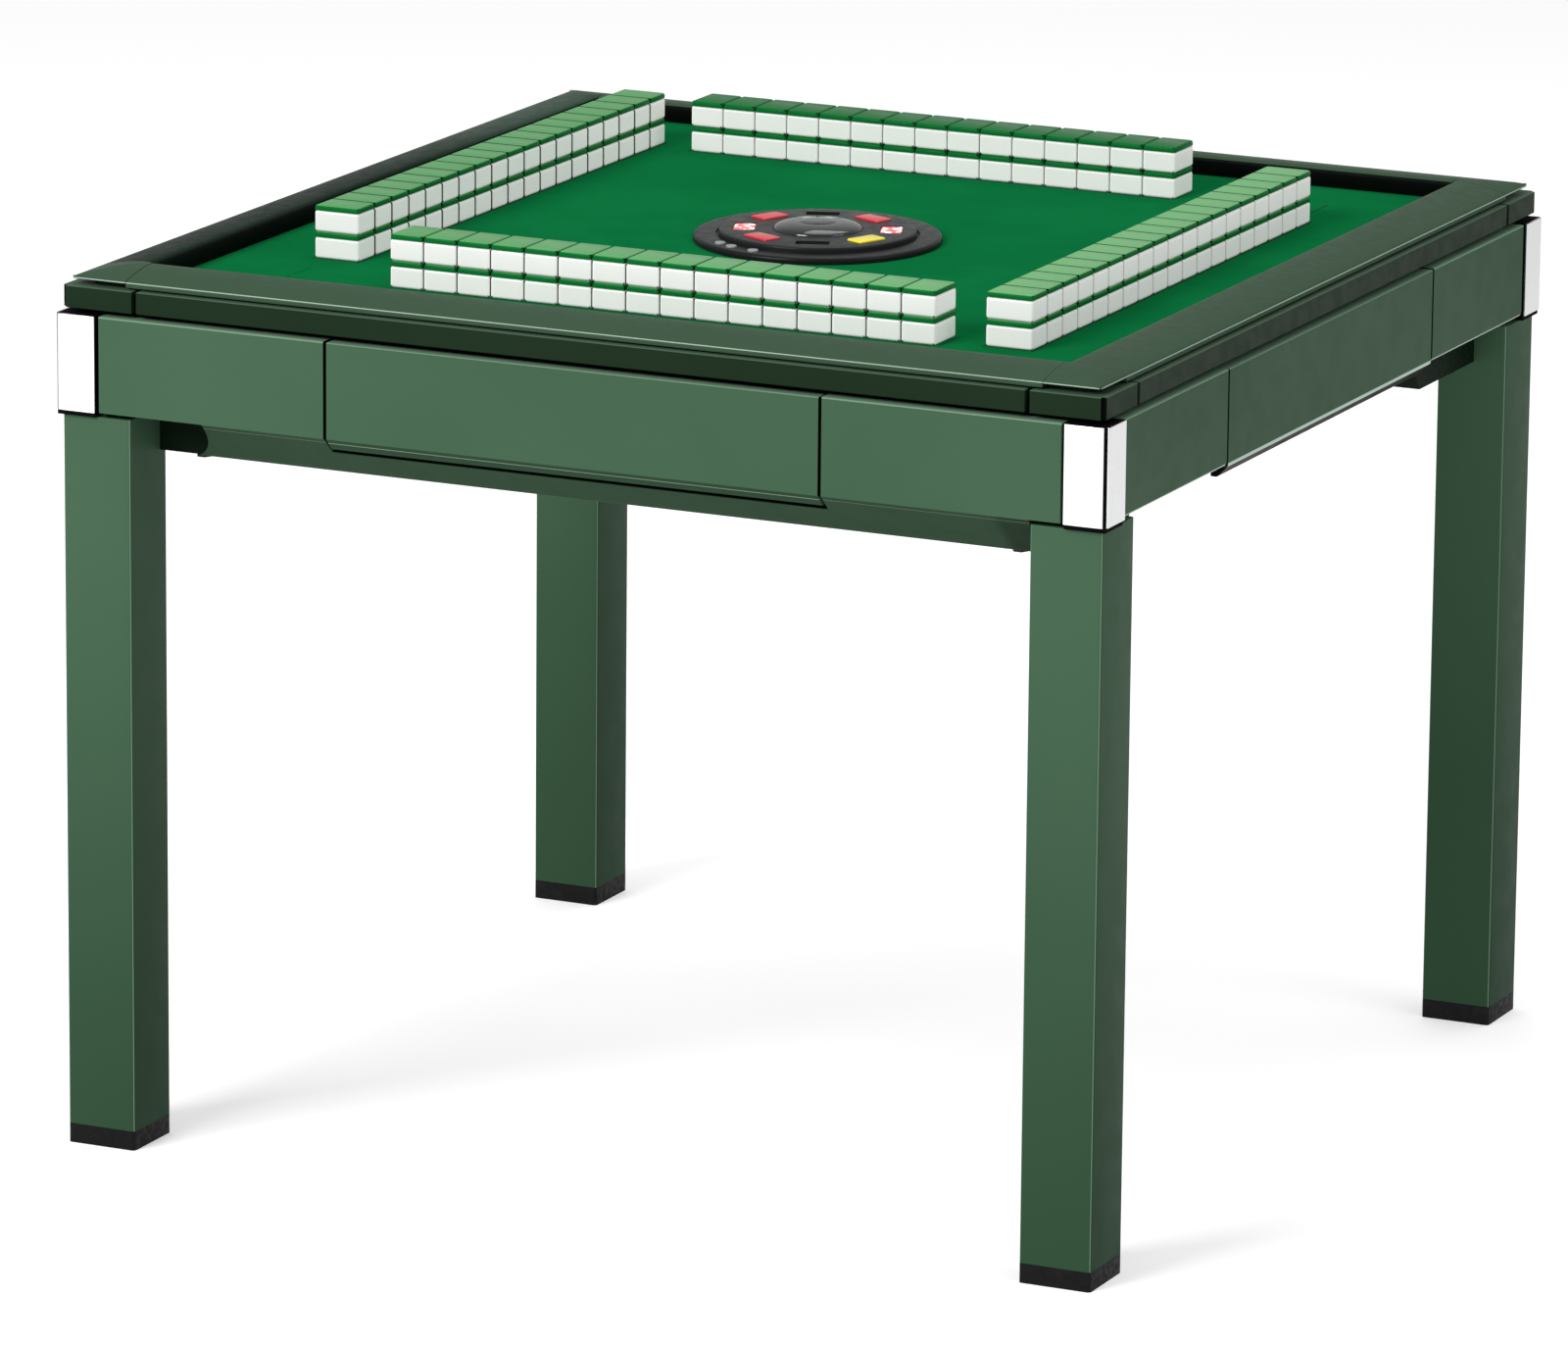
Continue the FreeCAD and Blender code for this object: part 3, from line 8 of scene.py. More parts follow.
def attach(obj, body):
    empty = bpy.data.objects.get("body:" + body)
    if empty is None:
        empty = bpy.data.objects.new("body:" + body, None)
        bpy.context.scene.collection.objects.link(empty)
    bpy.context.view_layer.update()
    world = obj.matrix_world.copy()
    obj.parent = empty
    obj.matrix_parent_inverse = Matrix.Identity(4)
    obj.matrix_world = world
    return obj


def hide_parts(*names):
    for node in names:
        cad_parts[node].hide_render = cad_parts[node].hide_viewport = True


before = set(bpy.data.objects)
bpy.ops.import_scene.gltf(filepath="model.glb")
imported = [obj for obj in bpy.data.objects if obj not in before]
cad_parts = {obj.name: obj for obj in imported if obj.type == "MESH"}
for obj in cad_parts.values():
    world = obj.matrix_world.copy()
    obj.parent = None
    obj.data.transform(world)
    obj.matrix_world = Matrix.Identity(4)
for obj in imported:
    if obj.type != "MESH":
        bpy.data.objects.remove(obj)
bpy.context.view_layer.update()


# ---------------------------------------------------------------- studio
# A pale matt floor that runs past every view, a white room around it, one large soft lamp from
# the left of the front, and weaker ones from the right and from above.

class Wire:
    """A value in a material; sums, products and comparisons of wires add Math nodes."""

    def __init__(self, finish, socket):
        self.finish, self.socket = finish, socket

    def maths(self, operation, *values):
        return self.finish.node("ShaderNodeMath", {"operation": operation},
                                dict(enumerate(values)))

    def __add__(self, other):
        return self.maths("ADD", self, other)

    def __mul__(self, other):
        return self.maths("MULTIPLY", self, other)

    def __sub__(self, other):
        return self.maths("SUBTRACT", self, other)

    def __rsub__(self, other):
        return self.maths("SUBTRACT", other, self)

    def __lt__(self, other):
        return self.maths("LESS_THAN", self, other)

    def __gt__(self, other):
        return self.maths("GREATER_THAN", self, other)

    __radd__, __rmul__ = __add__, __mul__


class Finish:
    """A material: one Principled shader and the nodes that feed it."""

    def __init__(self, name, **values):
        self.material = bpy.data.materials.new(name)
        self.material.use_nodes = True
        self.tree = self.material.node_tree
        self.shader = self.tree.nodes["Principled BSDF"]
        self.place = self.node("ShaderNodeTexCoord", output="Object")
        self.paint(**values)

    def feed(self, node, values):
        """Sets a node's sockets to values, or links them to wires."""
        for key, value in dict(values).items():
            if isinstance(value, Wire):
                self.tree.links.new(value.socket, node.inputs[key])
            else:
                node.inputs[key].default_value = value

    def node(self, kind, settings=(), inputs=(), output=0):
        """Adds a node: its settings first, then the values or links of its sockets."""
        made = self.tree.nodes.new(kind)
        for key, value in dict(settings).items():
            setattr(made, key, value)
        self.feed(made, inputs)
        return Wire(self, made.outputs[output])

    def paint(self, **values):
        """Sets or links the shader's own sockets; an underscore stands for a space."""
        self.feed(self.shader, {key.replace("_", " "): value for key, value in values.items()})
        return self.material

    def noise(self, scale, detail=2.0, rough=0.5, stretch=(1, 1, 1)):
        """Soft clouds of a scale, the same whichever way the piece is seen."""
        spot = self.node("ShaderNodeMapping", {}, {"Vector": self.place, "Scale": stretch})
        return self.node("ShaderNodeTexNoise", {},
                         {"Vector": spot, "Scale": scale, "Detail": detail, "Roughness": rough})

    def range(self, value, low, high, bottom=0.0, top=1.0):
        """Carries low..high of a value smoothly to bottom..top."""
        return self.node("ShaderNodeMapRange", {"interpolation_type": "SMOOTHSTEP"},
                         {"Value": value, "From Min": low, "From Max": high,
                          "To Min": bottom, "To Max": top})

    def wander(self, noise, bottom=0.0, top=1.0):
        """Spreads a noise, which keeps near its middle, over bottom..top."""
        return self.range(noise, 0.3, 0.7, bottom, top)

    def mix(self, share, first, second):
        """Blends two colours by a share."""
        return self.node("ShaderNodeMix", {"data_type": "RGBA"}, {0: share, 6: first, 7: second},
                         output=2)

    def spot(self, axis):
        """Where a point lies along the table's X, Y or Z axis."""
        return self.node("ShaderNodeSeparateXYZ", {}, {"Vector": self.place}, "XYZ".index(axis))

    def along(self, axis):
        """How far along the table's X, Y or Z axis a point lies, without its sign."""
        spot = self.spot(axis)
        return spot.maths("ABSOLUTE", spot)

    def facing(self, axis):
        """How squarely a face looks along the table's X, Y or Z axis, without its sign."""
        aim = self.node("ShaderNodeTexCoord", output="Normal")
        part = self.node("ShaderNodeSeparateXYZ", {}, {"Vector": aim}, "XYZ".index(axis))
        return part.maths("ABSOLUTE", part)

    def seam(self):
        """One on the faces that stand against the next piece of a row, where painted shade goes,
        and zero elsewhere.
        """
        return self.node("ShaderNodeAttribute", {"attribute_name": "seam"}, output="Fac")

    def apart(self, value, level):
        """How far a value is from a level."""
        return value.maths("ABSOLUTE", value - level)

    def bump(self, height, distance, strength):
        """Raises a pattern on the surface, by a distance in metres."""
        return self.node("ShaderNodeBump", {},
                         {"Height": height, "Distance": distance, "Strength": strength})


def tone(red, green, blue):
    """A screen colour of 0 to 255 as the shader's colour."""
    parts = [part / 255 for part in (red, green, blue)]
    return tuple(part / 12.92 if part < 0.04045 else ((part + 0.055) / 1.055) ** 2.4
                 for part in parts) + (1.0,)


WHITE, BLACK = (1, 1, 1, 1), (0, 0, 0, 1)


def pick(*pieces):
    """Leaves just these pieces selected, the first of them active."""
    if bpy.context.object and bpy.context.object.mode != "OBJECT":
        bpy.ops.object.mode_set(mode="OBJECT")
    bpy.ops.object.select_all(action="DESELECT")
    for piece in pieces:
        piece.select_set(True)
    if pieces:
        bpy.context.view_layer.objects.active = pieces[0]


FLOOR_SIDE, FLOOR_GLOW, ROOM_GLOW = 80.0, 0.4, 0.5
FLOOR_GREYS = (0.84, 0.84, 0.84, 1), (0.86, 0.86, 0.86, 1)
pick()
bpy.ops.mesh.primitive_plane_add(size=FLOOR_SIDE)
floor = bpy.context.object
floor.name = "studio_floor"
pale = Finish("pale_floor", Roughness=0.9, Specular_IOR_Level=0.2,
              Emission_Color=WHITE, Emission_Strength=FLOOR_GLOW)
floor.data.materials.append(pale.paint(Base_Color=pale.mix(pale.noise(0.4), *FLOOR_GREYS)))

world = bpy.data.worlds.new("studio")
world.use_nodes = True
world.node_tree.nodes["Background"].inputs["Color"].default_value = WHITE
world.node_tree.nodes["Background"].inputs["Strength"].default_value = ROOM_GLOW
bpy.context.scene.world = world
bpy.context.scene.view_settings.view_transform = "Standard"

LAMP_AIM = (0, 0, 0.6)


def lamp(name, place, side, power):
    """A square soft lamp that faces the table."""
    turn = (Vector(LAMP_AIM) - Vector(place)).to_track_quat("-Z", "Y").to_euler()
    bpy.ops.object.light_add(type="AREA", location=place, rotation=turn)
    made = bpy.context.object
    made.name = name
    made.data.size, made.data.energy = side, power


lamp("lamp_left", (-1.8, -4.6, 3.8), 2.6, 250)
lamp("lamp_right", (5.0, -0.5, 3.6), 3.0, 50)
lamp("lamp_overhead", (0, 1.5, 4.5), 3.0, 60)

CAMERA_PLACE = (3.6146, -7.7693, 2.5000)
CAMERA_YAW, CAMERA_PITCH, CAMERA_ROLL = 25.12, -14.02, 0.53
CAMERA_SENSOR, CAMERA_LENS, CAMERA_REACH = 36, 234.13, 200
camera_turn = (Matrix.Rotation(math.radians(CAMERA_YAW), 3, "Z")
               @ Matrix.Rotation(math.radians(90 + CAMERA_PITCH), 3, "X")
               @ Matrix.Rotation(math.radians(CAMERA_ROLL), 3, "Z"))
bpy.ops.object.camera_add(location=CAMERA_PLACE, rotation=camera_turn.to_euler())
camera = bpy.context.object
camera.data.sensor_width, camera.data.lens = CAMERA_SENSOR, CAMERA_LENS
camera.data.clip_end = CAMERA_REACH
bpy.context.scene.camera = camera


# ---------------------------------------------------------------- legs
# Four square steel tubes, closed on top by a welded plate and powder coated satin green. The
# open lower end of each is plugged by its foot.

def block(name, low, high):
    """A block from its lowest to its highest corner."""
    pick()
    bpy.ops.mesh.primitive_cube_add(size=1, location=[(a + b) / 2 for a, b in zip(low, high)])
    piece = bpy.context.object
    piece.name = piece.data.name = name
    bpy.ops.transform.resize(value=[b - a for a, b in zip(low, high)])
    bpy.ops.object.transform_apply(location=True, rotation=True, scale=True)
    return piece


SQUARE, HAIR = 0.9, 0.0001      # how squarely a chosen face looks, and the slack of a place


def choose(piece, kind, wanted):
    """Opens a piece for editing, with its vertices, edges or faces chosen by middle and aim."""
    pick(piece)
    bpy.ops.object.mode_set(mode="EDIT")
    bpy.ops.mesh.select_mode(type=kind)
    bpy.ops.mesh.select_all(action="DESELECT")
    mesh = bmesh.from_edit_mesh(piece.data)
    if kind == "VERT":
        parts = [(part, part.co, part.normal) for part in mesh.verts]
    elif kind == "EDGE":
        parts = [(part, (part.verts[0].co + part.verts[1].co) / 2,
                  part.verts[1].co - part.verts[0].co) for part in mesh.edges]
    else:
        parts = [(part, part.calc_center_median(), part.normal) for part in mesh.faces]
    for part, middle, aim in parts:
        if wanted(middle, aim):
            part.select_set(True)
    mesh.select_flush_mode()
    bmesh.update_edit_mesh(piece.data)


def extrude(shift):
    """Draws the chosen faces out by a shift."""
    bpy.ops.mesh.extrude_region_move(TRANSFORM_OT_translate={"value": shift})


def round_edges(piece, wanted, width, segments=4):
    """Rounds the edges chosen by middle and run."""
    choose(piece, "EDGE", wanted)
    bpy.ops.mesh.bevel(offset=width, segments=segments, affect="EDGES")
    pick(piece)


def soften(piece, width, segments=3, angle=40):
    """Breaks every edge sharper than an angle and shades the piece smooth."""
    pick(piece)
    bpy.ops.object.shade_smooth()
    bpy.ops.object.modifier_add(type="BEVEL")
    bevel = piece.modifiers[-1]
    bevel.width, bevel.segments, bevel.limit_method = width, segments, "ANGLE"
    bevel.angle_limit, bevel.harden_normals = math.radians(angle), True
    bpy.ops.object.modifier_apply(modifier=bevel.name)
    return piece


def turned(piece, quarter, name):
    """A copy turned about the table's upright axis by some quarters of a turn."""
    pick(piece)
    bpy.ops.object.duplicate(linked=False)
    copy = bpy.context.object
    copy.name = copy.data.name = name
    copy.rotation_euler.z = math.pi / 2 * quarter
    bpy.ops.object.transform_apply(location=False, rotation=True, scale=False)
    return copy


def settle(piece, material, slot, body, *nodes):
    """Gives a piece its finish and its body, and hides the solids that it stands for."""
    piece.data.materials.clear()
    piece.data.materials.append(material)
    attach(piece, body)
    if nodes:
        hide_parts(*nodes)


def set_round(piece, name, places, *finish):
    """Settles a piece and its copies at four places, each a quarter turn on."""
    for quarter, place in enumerate(places):
        settle(turned(piece, quarter, name + place) if quarter else piece, *finish)


CORNERS = ["front_right", "back_right", "back_left", "front_left"]
SIDES = ["front", "right", "back", "left"]
LEG_NEAR, LEG_FAR = 0.411, 0.475
LEG_LOW, LEG_TOP = 0.017, 0.636
LEG_WALL, LEG_HOLLOW, LEG_ROUND = 0.002, 0.05, 0.003
LEG_RUN = 0.3
LEG_MIDDLE, LEG_EDGE, LEG_PAINT_TOP = 0.443, 0.0308, 0.6365
CASE_EDGE, CASE_EDGE_HALF = 0.7220, 0.0009
HEM_NEAR, HEM_LOW, HEM_TOP = 0.4625, 0.6394, 0.6426
LIP_NEAR, LIP_END, LIP_LOW = 0.4400, 0.2262, 0.6200
APRON_END, APRON_PAINT_TOP = 0.4105, 0.6398
SHADE_START, SHADE_END = 0.3735, 0.3875
SIDEWAYS, SIDE_SHADE = 0.7, 0.24
SILL_PAINT_END, SILL_PAINT_FACE, SILL_PAINT_LOW = 0.2402, 0.4485, 0.6155
JOINT_PLACE, JOINT_HALF, JOINT_LOW = 0.22575, 0.0015, 0.6395

# The paint carries painted light: painted highlights on the edges of the legs and the case top, a
# painted reflection of the floor on the side hems, and black painted shade in the joints beside
# the drawers, in the gap under them and on the sill inside. Painted shade also darkens the apron
# in its shade, the faces that look sideways, and the paint towards the floor.
green = Finish("green_satin_paint", Specular_IOR_Level=0.03)
green_x, green_y, height = green.along("X"), green.along("Y"), green.along("Z")
green_cloud = green.wander(green.noise(3.5, 3.0))
green_peel = green.noise(650, 2.0, 0.6)
# Painted highlights run down the legs' outer edges and along the case's top edge.
painted_leg_highlight = ((green.apart(green_x, LEG_MIDDLE) > LEG_EDGE)
            * (green.apart(green_y, LEG_MIDDLE) > LEG_EDGE) * (height < LEG_PAINT_TOP))
painted_top_highlight = green.apart(height, CASE_EDGE) < CASE_EDGE_HALF
# A painted reflection of the floor lightens the side panels' rolled lower hems.
painted_hem_reflection = (green_x > HEM_NEAR) * (height > HEM_LOW) * (height < HEM_TOP)
# Painted shade blackens the lips under the side drawers.
painted_lip_shade = (green_x > LIP_NEAR) * (green_y < LIP_END) * (height > LIP_LOW) * (height < HEM_LOW)
apron_skin = (green_x < APRON_END) * (height < APRON_PAINT_TOP)
# Painted shade blackens the sill inside the fold and the edges of the joints beside the drawers.
painted_sill_shade = ((green_x < SILL_PAINT_END) * (green_y < SILL_PAINT_FACE)
               * (height > SILL_PAINT_LOW))
painted_joint_shade = ((green.apart(green_x, JOINT_PLACE) < JOINT_HALF)
                + (green.apart(green_y, JOINT_PLACE) < JOINT_HALF)) * (height > JOINT_LOW)
apron_shade = green.range(green.spot("X"), SHADE_START, SHADE_END)
# Painted shade darkens the paint towards the floor.
green_coat = green.mix(green.range(height, 0.0, 0.6), tone(45, 70, 51),
                       green.mix(green_cloud, tone(58, 85, 64), tone(63, 90, 69)))
green_coat = green.mix((green.facing("X") > SIDEWAYS) * SIDE_SHADE, green_coat, BLACK)
green_coat = green.mix(apron_skin, green_coat,
                       green.mix(apron_shade, tone(36, 60, 41), tone(22, 43, 25)))
green_coat = green.mix(painted_leg_highlight + painted_top_highlight, green_coat, tone(104, 132, 110))
green_coat = green.mix(painted_hem_reflection, green_coat, tone(170, 186, 173))
painted_green = green.paint(
    Base_Color=green.mix(painted_sill_shade + painted_joint_shade + painted_lip_shade, green_coat, tone(4, 5, 4)),
    Roughness=green.wander(green.noise(40, 3.0), 0.42, 0.50),
    Normal=green.bump(green_peel, 0.00012, 0.35))

leg = block("leg_front_right", (LEG_NEAR, -LEG_FAR, LEG_LOW), (LEG_FAR, -LEG_NEAR, LEG_TOP))
choose(leg, "FACE", lambda middle, aim: aim.z < -SQUARE)
bpy.ops.mesh.inset(thickness=LEG_WALL)
extrude((0, 0, LEG_HOLLOW))
round_edges(leg, lambda middle, run: abs(run.z) > LEG_RUN, LEG_ROUND)
soften(leg, 0.0011)
set_round(leg, "leg_", CORNERS, painted_green, "painted_green", "frame", "legs")


# ---------------------------------------------------------------- feet
# Black moulded rubber shoes as wide as the legs. A plug on top of each is pushed into the tube,
# and a shallow hollow underneath leaves a standing rim.

FOOT_PLUG, FOOT_PLAY = 0.024, 0.001
FOOT_RIM, FOOT_HOLLOW, FOOT_RUN = 0.006, 0.003, 0.01
rubber = Finish("black_foot_rubber", Specular_IOR_Level=0.15)
rubber_dust = rubber.range(rubber.noise(60, 4.0), 0.45, 0.75)
foot_rubber = rubber.paint(
    Base_Color=rubber.mix(rubber_dust, tone(7, 7, 7), tone(15, 16, 15)),
    Roughness=rubber.wander(rubber.noise(200), 0.5, 0.7),
    Normal=rubber.bump(rubber.noise(900, 3.0), 0.0002, 0.4))

foot = block("foot_front_right", (LEG_NEAR, -LEG_FAR, 0), (LEG_FAR, -LEG_NEAR, LEG_LOW))
round_edges(foot, lambda middle, run: abs(run.z) > FOOT_RUN, LEG_ROUND)
choose(foot, "FACE", lambda middle, aim: aim.z > SQUARE)
bpy.ops.mesh.inset(thickness=LEG_WALL + FOOT_PLAY)
extrude((0, 0, FOOT_PLUG))
choose(foot, "FACE", lambda middle, aim: aim.z < -SQUARE)
bpy.ops.mesh.inset(thickness=FOOT_RIM)
extrude((0, 0, FOOT_HOLLOW))
soften(foot, 0.0012)
set_round(foot, "foot_", CORNERS, foot_rubber, "foot_rubber", "frame", "rubber_feet")


# ---------------------------------------------------------------- brackets and bolts
# Dark green steel brackets on both sides of each leg, cut to a slope, and the black bolts that go
# up through them into the base board.

steel = Finish("dark_painted_steel", Specular_IOR_Level=0.03)
dark_steel = steel.paint(
    Base_Color=steel.mix(steel.noise(30, 3.0), tone(9, 20, 12), tone(14, 27, 17)),
    Roughness=steel.wander(steel.noise(300), 0.46, 0.60),
    Normal=steel.bump(steel.noise(700, 2.0), 0.0001, 0.4))
oxide = Finish("black_oxide_steel", Metallic=0.6)
bolt_steel = oxide.paint(
    Base_Color=oxide.mix(oxide.noise(400), tone(18, 19, 18), tone(34, 35, 34)),
    Roughness=oxide.wander(oxide.noise(900), 0.38, 0.55))


def carry_over(material, *names):
    """Gives solids that keep their own shape a better finish."""
    for name in names:
        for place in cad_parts[name].material_slots:
            place.material = material


carry_over(dark_steel, "leg_brackets")
carry_over(bolt_steel, "leg_bolts")


# ---------------------------------------------------------------- base board and top rails
# The board that carries the works is laminated fibreboard with holes for the lifts, painted near
# black as painted shade where its edges show; four softwood rails, darkened near black as painted
# shade in the gap under the lid, tie the corner posts over the drawers and carry the lid.

laminate = Finish("shade_black_laminate", Specular_IOR_Level=0.3)
base_board = laminate.paint(
    Base_Color=laminate.mix(laminate.range(laminate.noise(900, 3.0), 0.35, 0.65),
                            tone(26, 28, 26), tone(38, 40, 38)),
    Roughness=laminate.wander(laminate.noise(50), 0.50, 0.64))
pine = Finish("shade_dark_pine", Roughness=0.8, Specular_IOR_Level=0.05)
pine_grain = pine.range(pine.noise(55, 5.0, 0.6, (0.06, 1.0, 1.0)), 0.35, 0.68)
rail_wood = pine.paint(
    Base_Color=pine.mix(pine_grain, tone(26, 20, 14), tone(14, 11, 8)),
    Normal=pine.bump(pine_grain, 0.0003, 0.4))
carry_over(base_board, "base_board")
carry_over(rail_wood, "top_rails")


# ---------------------------------------------------------------- corner posts and covers
# A black moulded post stands in each corner and shows in the groove between two plates of
# polished stainless steel, which are folded thin sheet and clip onto it.

post = Finish("black_post_moulding", Roughness=0.9, Specular_IOR_Level=0.05)
post_plastic = post.paint(
    Base_Color=post.mix(post.noise(80), tone(3, 4, 3), tone(7, 8, 7)),
    Normal=post.bump(post.noise(1200), 0.0001, 0.3))
carry_over(post_plastic, "corner_posts")

COVER_NEAR, COVER_FAR = 0.442, 0.4765
COVER_FACE, COVER_BACK = 0.480, 0.478
COVER_LIP, COVER_HOLLOW = 0.0012, 0.0009
SIDE_PLATE, SHINE_START, SHINE_END = 0.4772, 0.4670, 0.4765
CASE_LOW, CASE_TOP = 0.640, 0.7225
chrome = Finish("polished_stainless", Metallic=1.0)
# Painted shade darkens the side plates and greys each front plate towards its groove.
painted_side_plate_shade = chrome.along("X") > SIDE_PLATE
painted_front_plate_shade = chrome.mix(chrome.range(chrome.along("X"), SHINE_START, SHINE_END),
                         tone(250, 250, 250), tone(216, 217, 218))
bright_cover = chrome.paint(
    Base_Color=chrome.mix(painted_side_plate_shade, painted_front_plate_shade, chrome.mix(
        chrome.noise(3.0), tone(206, 207, 207), tone(218, 219, 218))),
    Roughness=chrome.wander(chrome.noise(500, 2.0, 0.5, (1, 1, 0.02)), 0.18, 0.30))


def join(name, *pieces):
    """Makes one piece of several."""
    pick(*pieces)
    bpy.ops.object.join()
    pieces[0].name = pieces[0].data.name = name
    return pieces[0]


plate = block("corner_cover_front", (COVER_NEAR, -COVER_FACE, CASE_LOW),
              (COVER_FAR, -COVER_BACK, CASE_TOP))
choose(plate, "FACE", lambda middle, aim: aim.y > SQUARE)
bpy.ops.mesh.inset(thickness=COVER_LIP)
extrude((0, -COVER_HOLLOW, 0))
soften(plate, 0.0006)
pick(plate)
bpy.ops.object.duplicate(linked=False)
mirror_plate = bpy.context.object
mirror_plate.scale.x = -1
bpy.ops.object.transform_apply(location=False, rotation=False, scale=True)
choose(mirror_plate, "FACE", lambda middle, aim: True)
bpy.ops.mesh.normals_make_consistent(inside=False)
cover = join("corner_cover_front_right", plate, turned(mirror_plate, 1, "corner_cover_side"))
bpy.data.objects.remove(mirror_plate)
set_round(cover, "corner_cover_", CORNERS, bright_cover, "bright_cover", "frame",
          "corner_covers")


# ---------------------------------------------------------------- front and back panels
# One folded and welded steel sheet each: a panel beside each end of the drawer and, under it, an
# apron that leans inwards, cut to an arc at one end and run up to the leg at the other, with a
# sill behind its top edge.

PANEL_END, PANEL_FACE, PANEL_BACK = 0.439, 0.478, 0.463
APRON_LEAN, APRON_DROP, APRON_TAPER = 0.040, 0.036, 0.003
APRON_TOP, APRON_FOOT, APRON_MIDDLE = 0.626, 0.605, -0.430
DRAWER_ROOM = 0.2265
ARC_PLACE, ARC_RADIUS, ARC_OUT, ARC_LONG = 0.381, 0.039, 0.45, 0.05
CUT_FACE, CUT_BACK, CUT_LOW, PAST = 0.49, 0.40, 0.60, 0.01
ROOM_WIDE, ROOM_DEEP, ROOM_TOP = 0.5, 0.60, 0.8
FOLD, LONG_RUN = 0.0013, 0.1
SILL_FACE, SILL_BACK, SILL_LOW, SILL_TOP, SILL_HALF = 0.448, 0.440, 0.616, 0.638, 0.240


def pillar(name, place, low, high, radius, sides):
    """An upright cylinder."""
    pick()
    bpy.ops.mesh.primitive_cylinder_add(vertices=sides, radius=radius, depth=high - low,
                                        location=(place[0], place[1], (low + high) / 2))
    piece = bpy.context.object
    piece.name = piece.data.name = name
    bpy.ops.object.transform_apply(location=True, rotation=True, scale=True)
    return piece


def carve(piece, *tools):
    """Cuts the tools out of a piece."""
    for tool in tools:
        pick(piece)
        bpy.ops.object.modifier_add(type="BOOLEAN")
        cut = piece.modifiers[-1]
        cut.operation, cut.object = "DIFFERENCE", tool
        bpy.ops.object.modifier_apply(modifier=cut.name)
        bpy.data.objects.remove(tool)
    return piece


panel = block("front_panel", (-PANEL_END, -PANEL_FACE, CASE_LOW),
              (PANEL_END, -PANEL_BACK, CASE_TOP))
choose(panel, "FACE", lambda middle, aim: aim.z < -SQUARE)
extrude((0, APRON_LEAN, -APRON_DROP))
choose(panel, "EDGE", lambda middle, run: middle.z < APRON_FOOT
       and middle.y > APRON_MIDDLE and abs(run.x) > LONG_RUN)
bpy.ops.transform.translate(value=(0, -APRON_TAPER, 0))
tools = [block("panel_opening", (-DRAWER_ROOM, -CUT_FACE, APRON_TOP),
               (DRAWER_ROOM, -CUT_BACK, CASE_TOP + PAST))]
for near, far in ((APRON_END, PANEL_END + PAST), (-PANEL_END - PAST, -ARC_PLACE)):
    tools.append(block("apron_end", (near, -CUT_FACE, CUT_LOW), (far, -CUT_BACK, CASE_LOW)))
arc = pillar("apron_arc", (-ARC_PLACE, ARC_OUT), -ARC_LONG, ARC_LONG, ARC_RADIUS, 96)
arc.rotation_euler.x = math.pi / 2
bpy.ops.object.transform_apply(location=True, rotation=True, scale=True)
bpy.ops.transform.translate(value=(0, -ARC_OUT, CASE_LOW - ARC_OUT))
bpy.ops.object.transform_apply(location=True, rotation=True, scale=True)
carve(arc, block("arc_room", (-ROOM_WIDE, -ROOM_DEEP, CASE_LOW),
                 (ROOM_WIDE, ROOM_DEEP, ROOM_TOP)))
tools.append(arc)
carve(panel, *tools)
soften(panel, FOLD)
panel = join("front_panel", panel,
             soften(block("front_sill", (-SILL_HALF, -SILL_FACE, SILL_LOW),
                          (SILL_HALF, -SILL_BACK, SILL_TOP)), 0.0008))
settle(panel, painted_green, "painted_green", "frame", "front_back_panels")
settle(turned(panel, 2, "back_panel"), painted_green, "painted_green", "frame",
       "front_back_panels")


# ---------------------------------------------------------------- side panels
# Plain painted panels beside the drawers of the left and right sides, folded from sheet with a
# rolled lower edge.

HEM_ROUND = 0.005

for near, far, names in ((DRAWER_ROOM, PANEL_END, ("right_back", "left_front")),
                         (-PANEL_END, -DRAWER_ROOM, ("right_front", "left_back"))):
    plain = block("side_panel_source", (near, -PANEL_FACE, CASE_LOW), (far, -PANEL_BACK, CASE_TOP))
    round_edges(plain, lambda middle, run: abs(run.x) > LONG_RUN and middle.z < CASE_LOW + HAIR
                and middle.y < -PANEL_FACE + HAIR, HEM_ROUND, 5)
    soften(plain, FOLD)
    for name, quarter in zip(names, (1, 3)):
        settle(turned(plain, quarter, "side_panel_" + name), painted_green, "painted_green",
               "frame", "side_panels")
    bpy.data.objects.remove(plain)


# ---------------------------------------------------------------- drawers
# Painted fronts with a folded finger lip underneath, each on a black moulded tray with four
# dividers, which runs on grooved nylon runners.

FACE_HALF, FACE_TOP = 0.225, 0.7219
LIP_REACH, LIP_DROP, LIP_TAPER = 0.010, 0.0102, 0.009
LIP_FOOT, LIP_MIDDLE = 0.6310, -0.460
nylon = Finish("runner_nylon", Roughness=0.4)
runner_plastic = nylon.paint(
    Base_Color=nylon.mix(nylon.noise(20), tone(216, 214, 204), tone(228, 226, 218)),
    Normal=nylon.bump(nylon.noise(800), 0.0001, 0.2))
tray = Finish("black_tray_moulding")
tray_plastic = tray.paint(
    Base_Color=tray.mix(tray.noise(15), tone(36, 38, 37), tone(46, 48, 47)),
    Roughness=tray.wander(tray.noise(150), 0.42, 0.58),
    Normal=tray.bump(tray.noise(1500, 2.0), 0.0002, 0.5))
carry_over(runner_plastic, "drawer_runners")

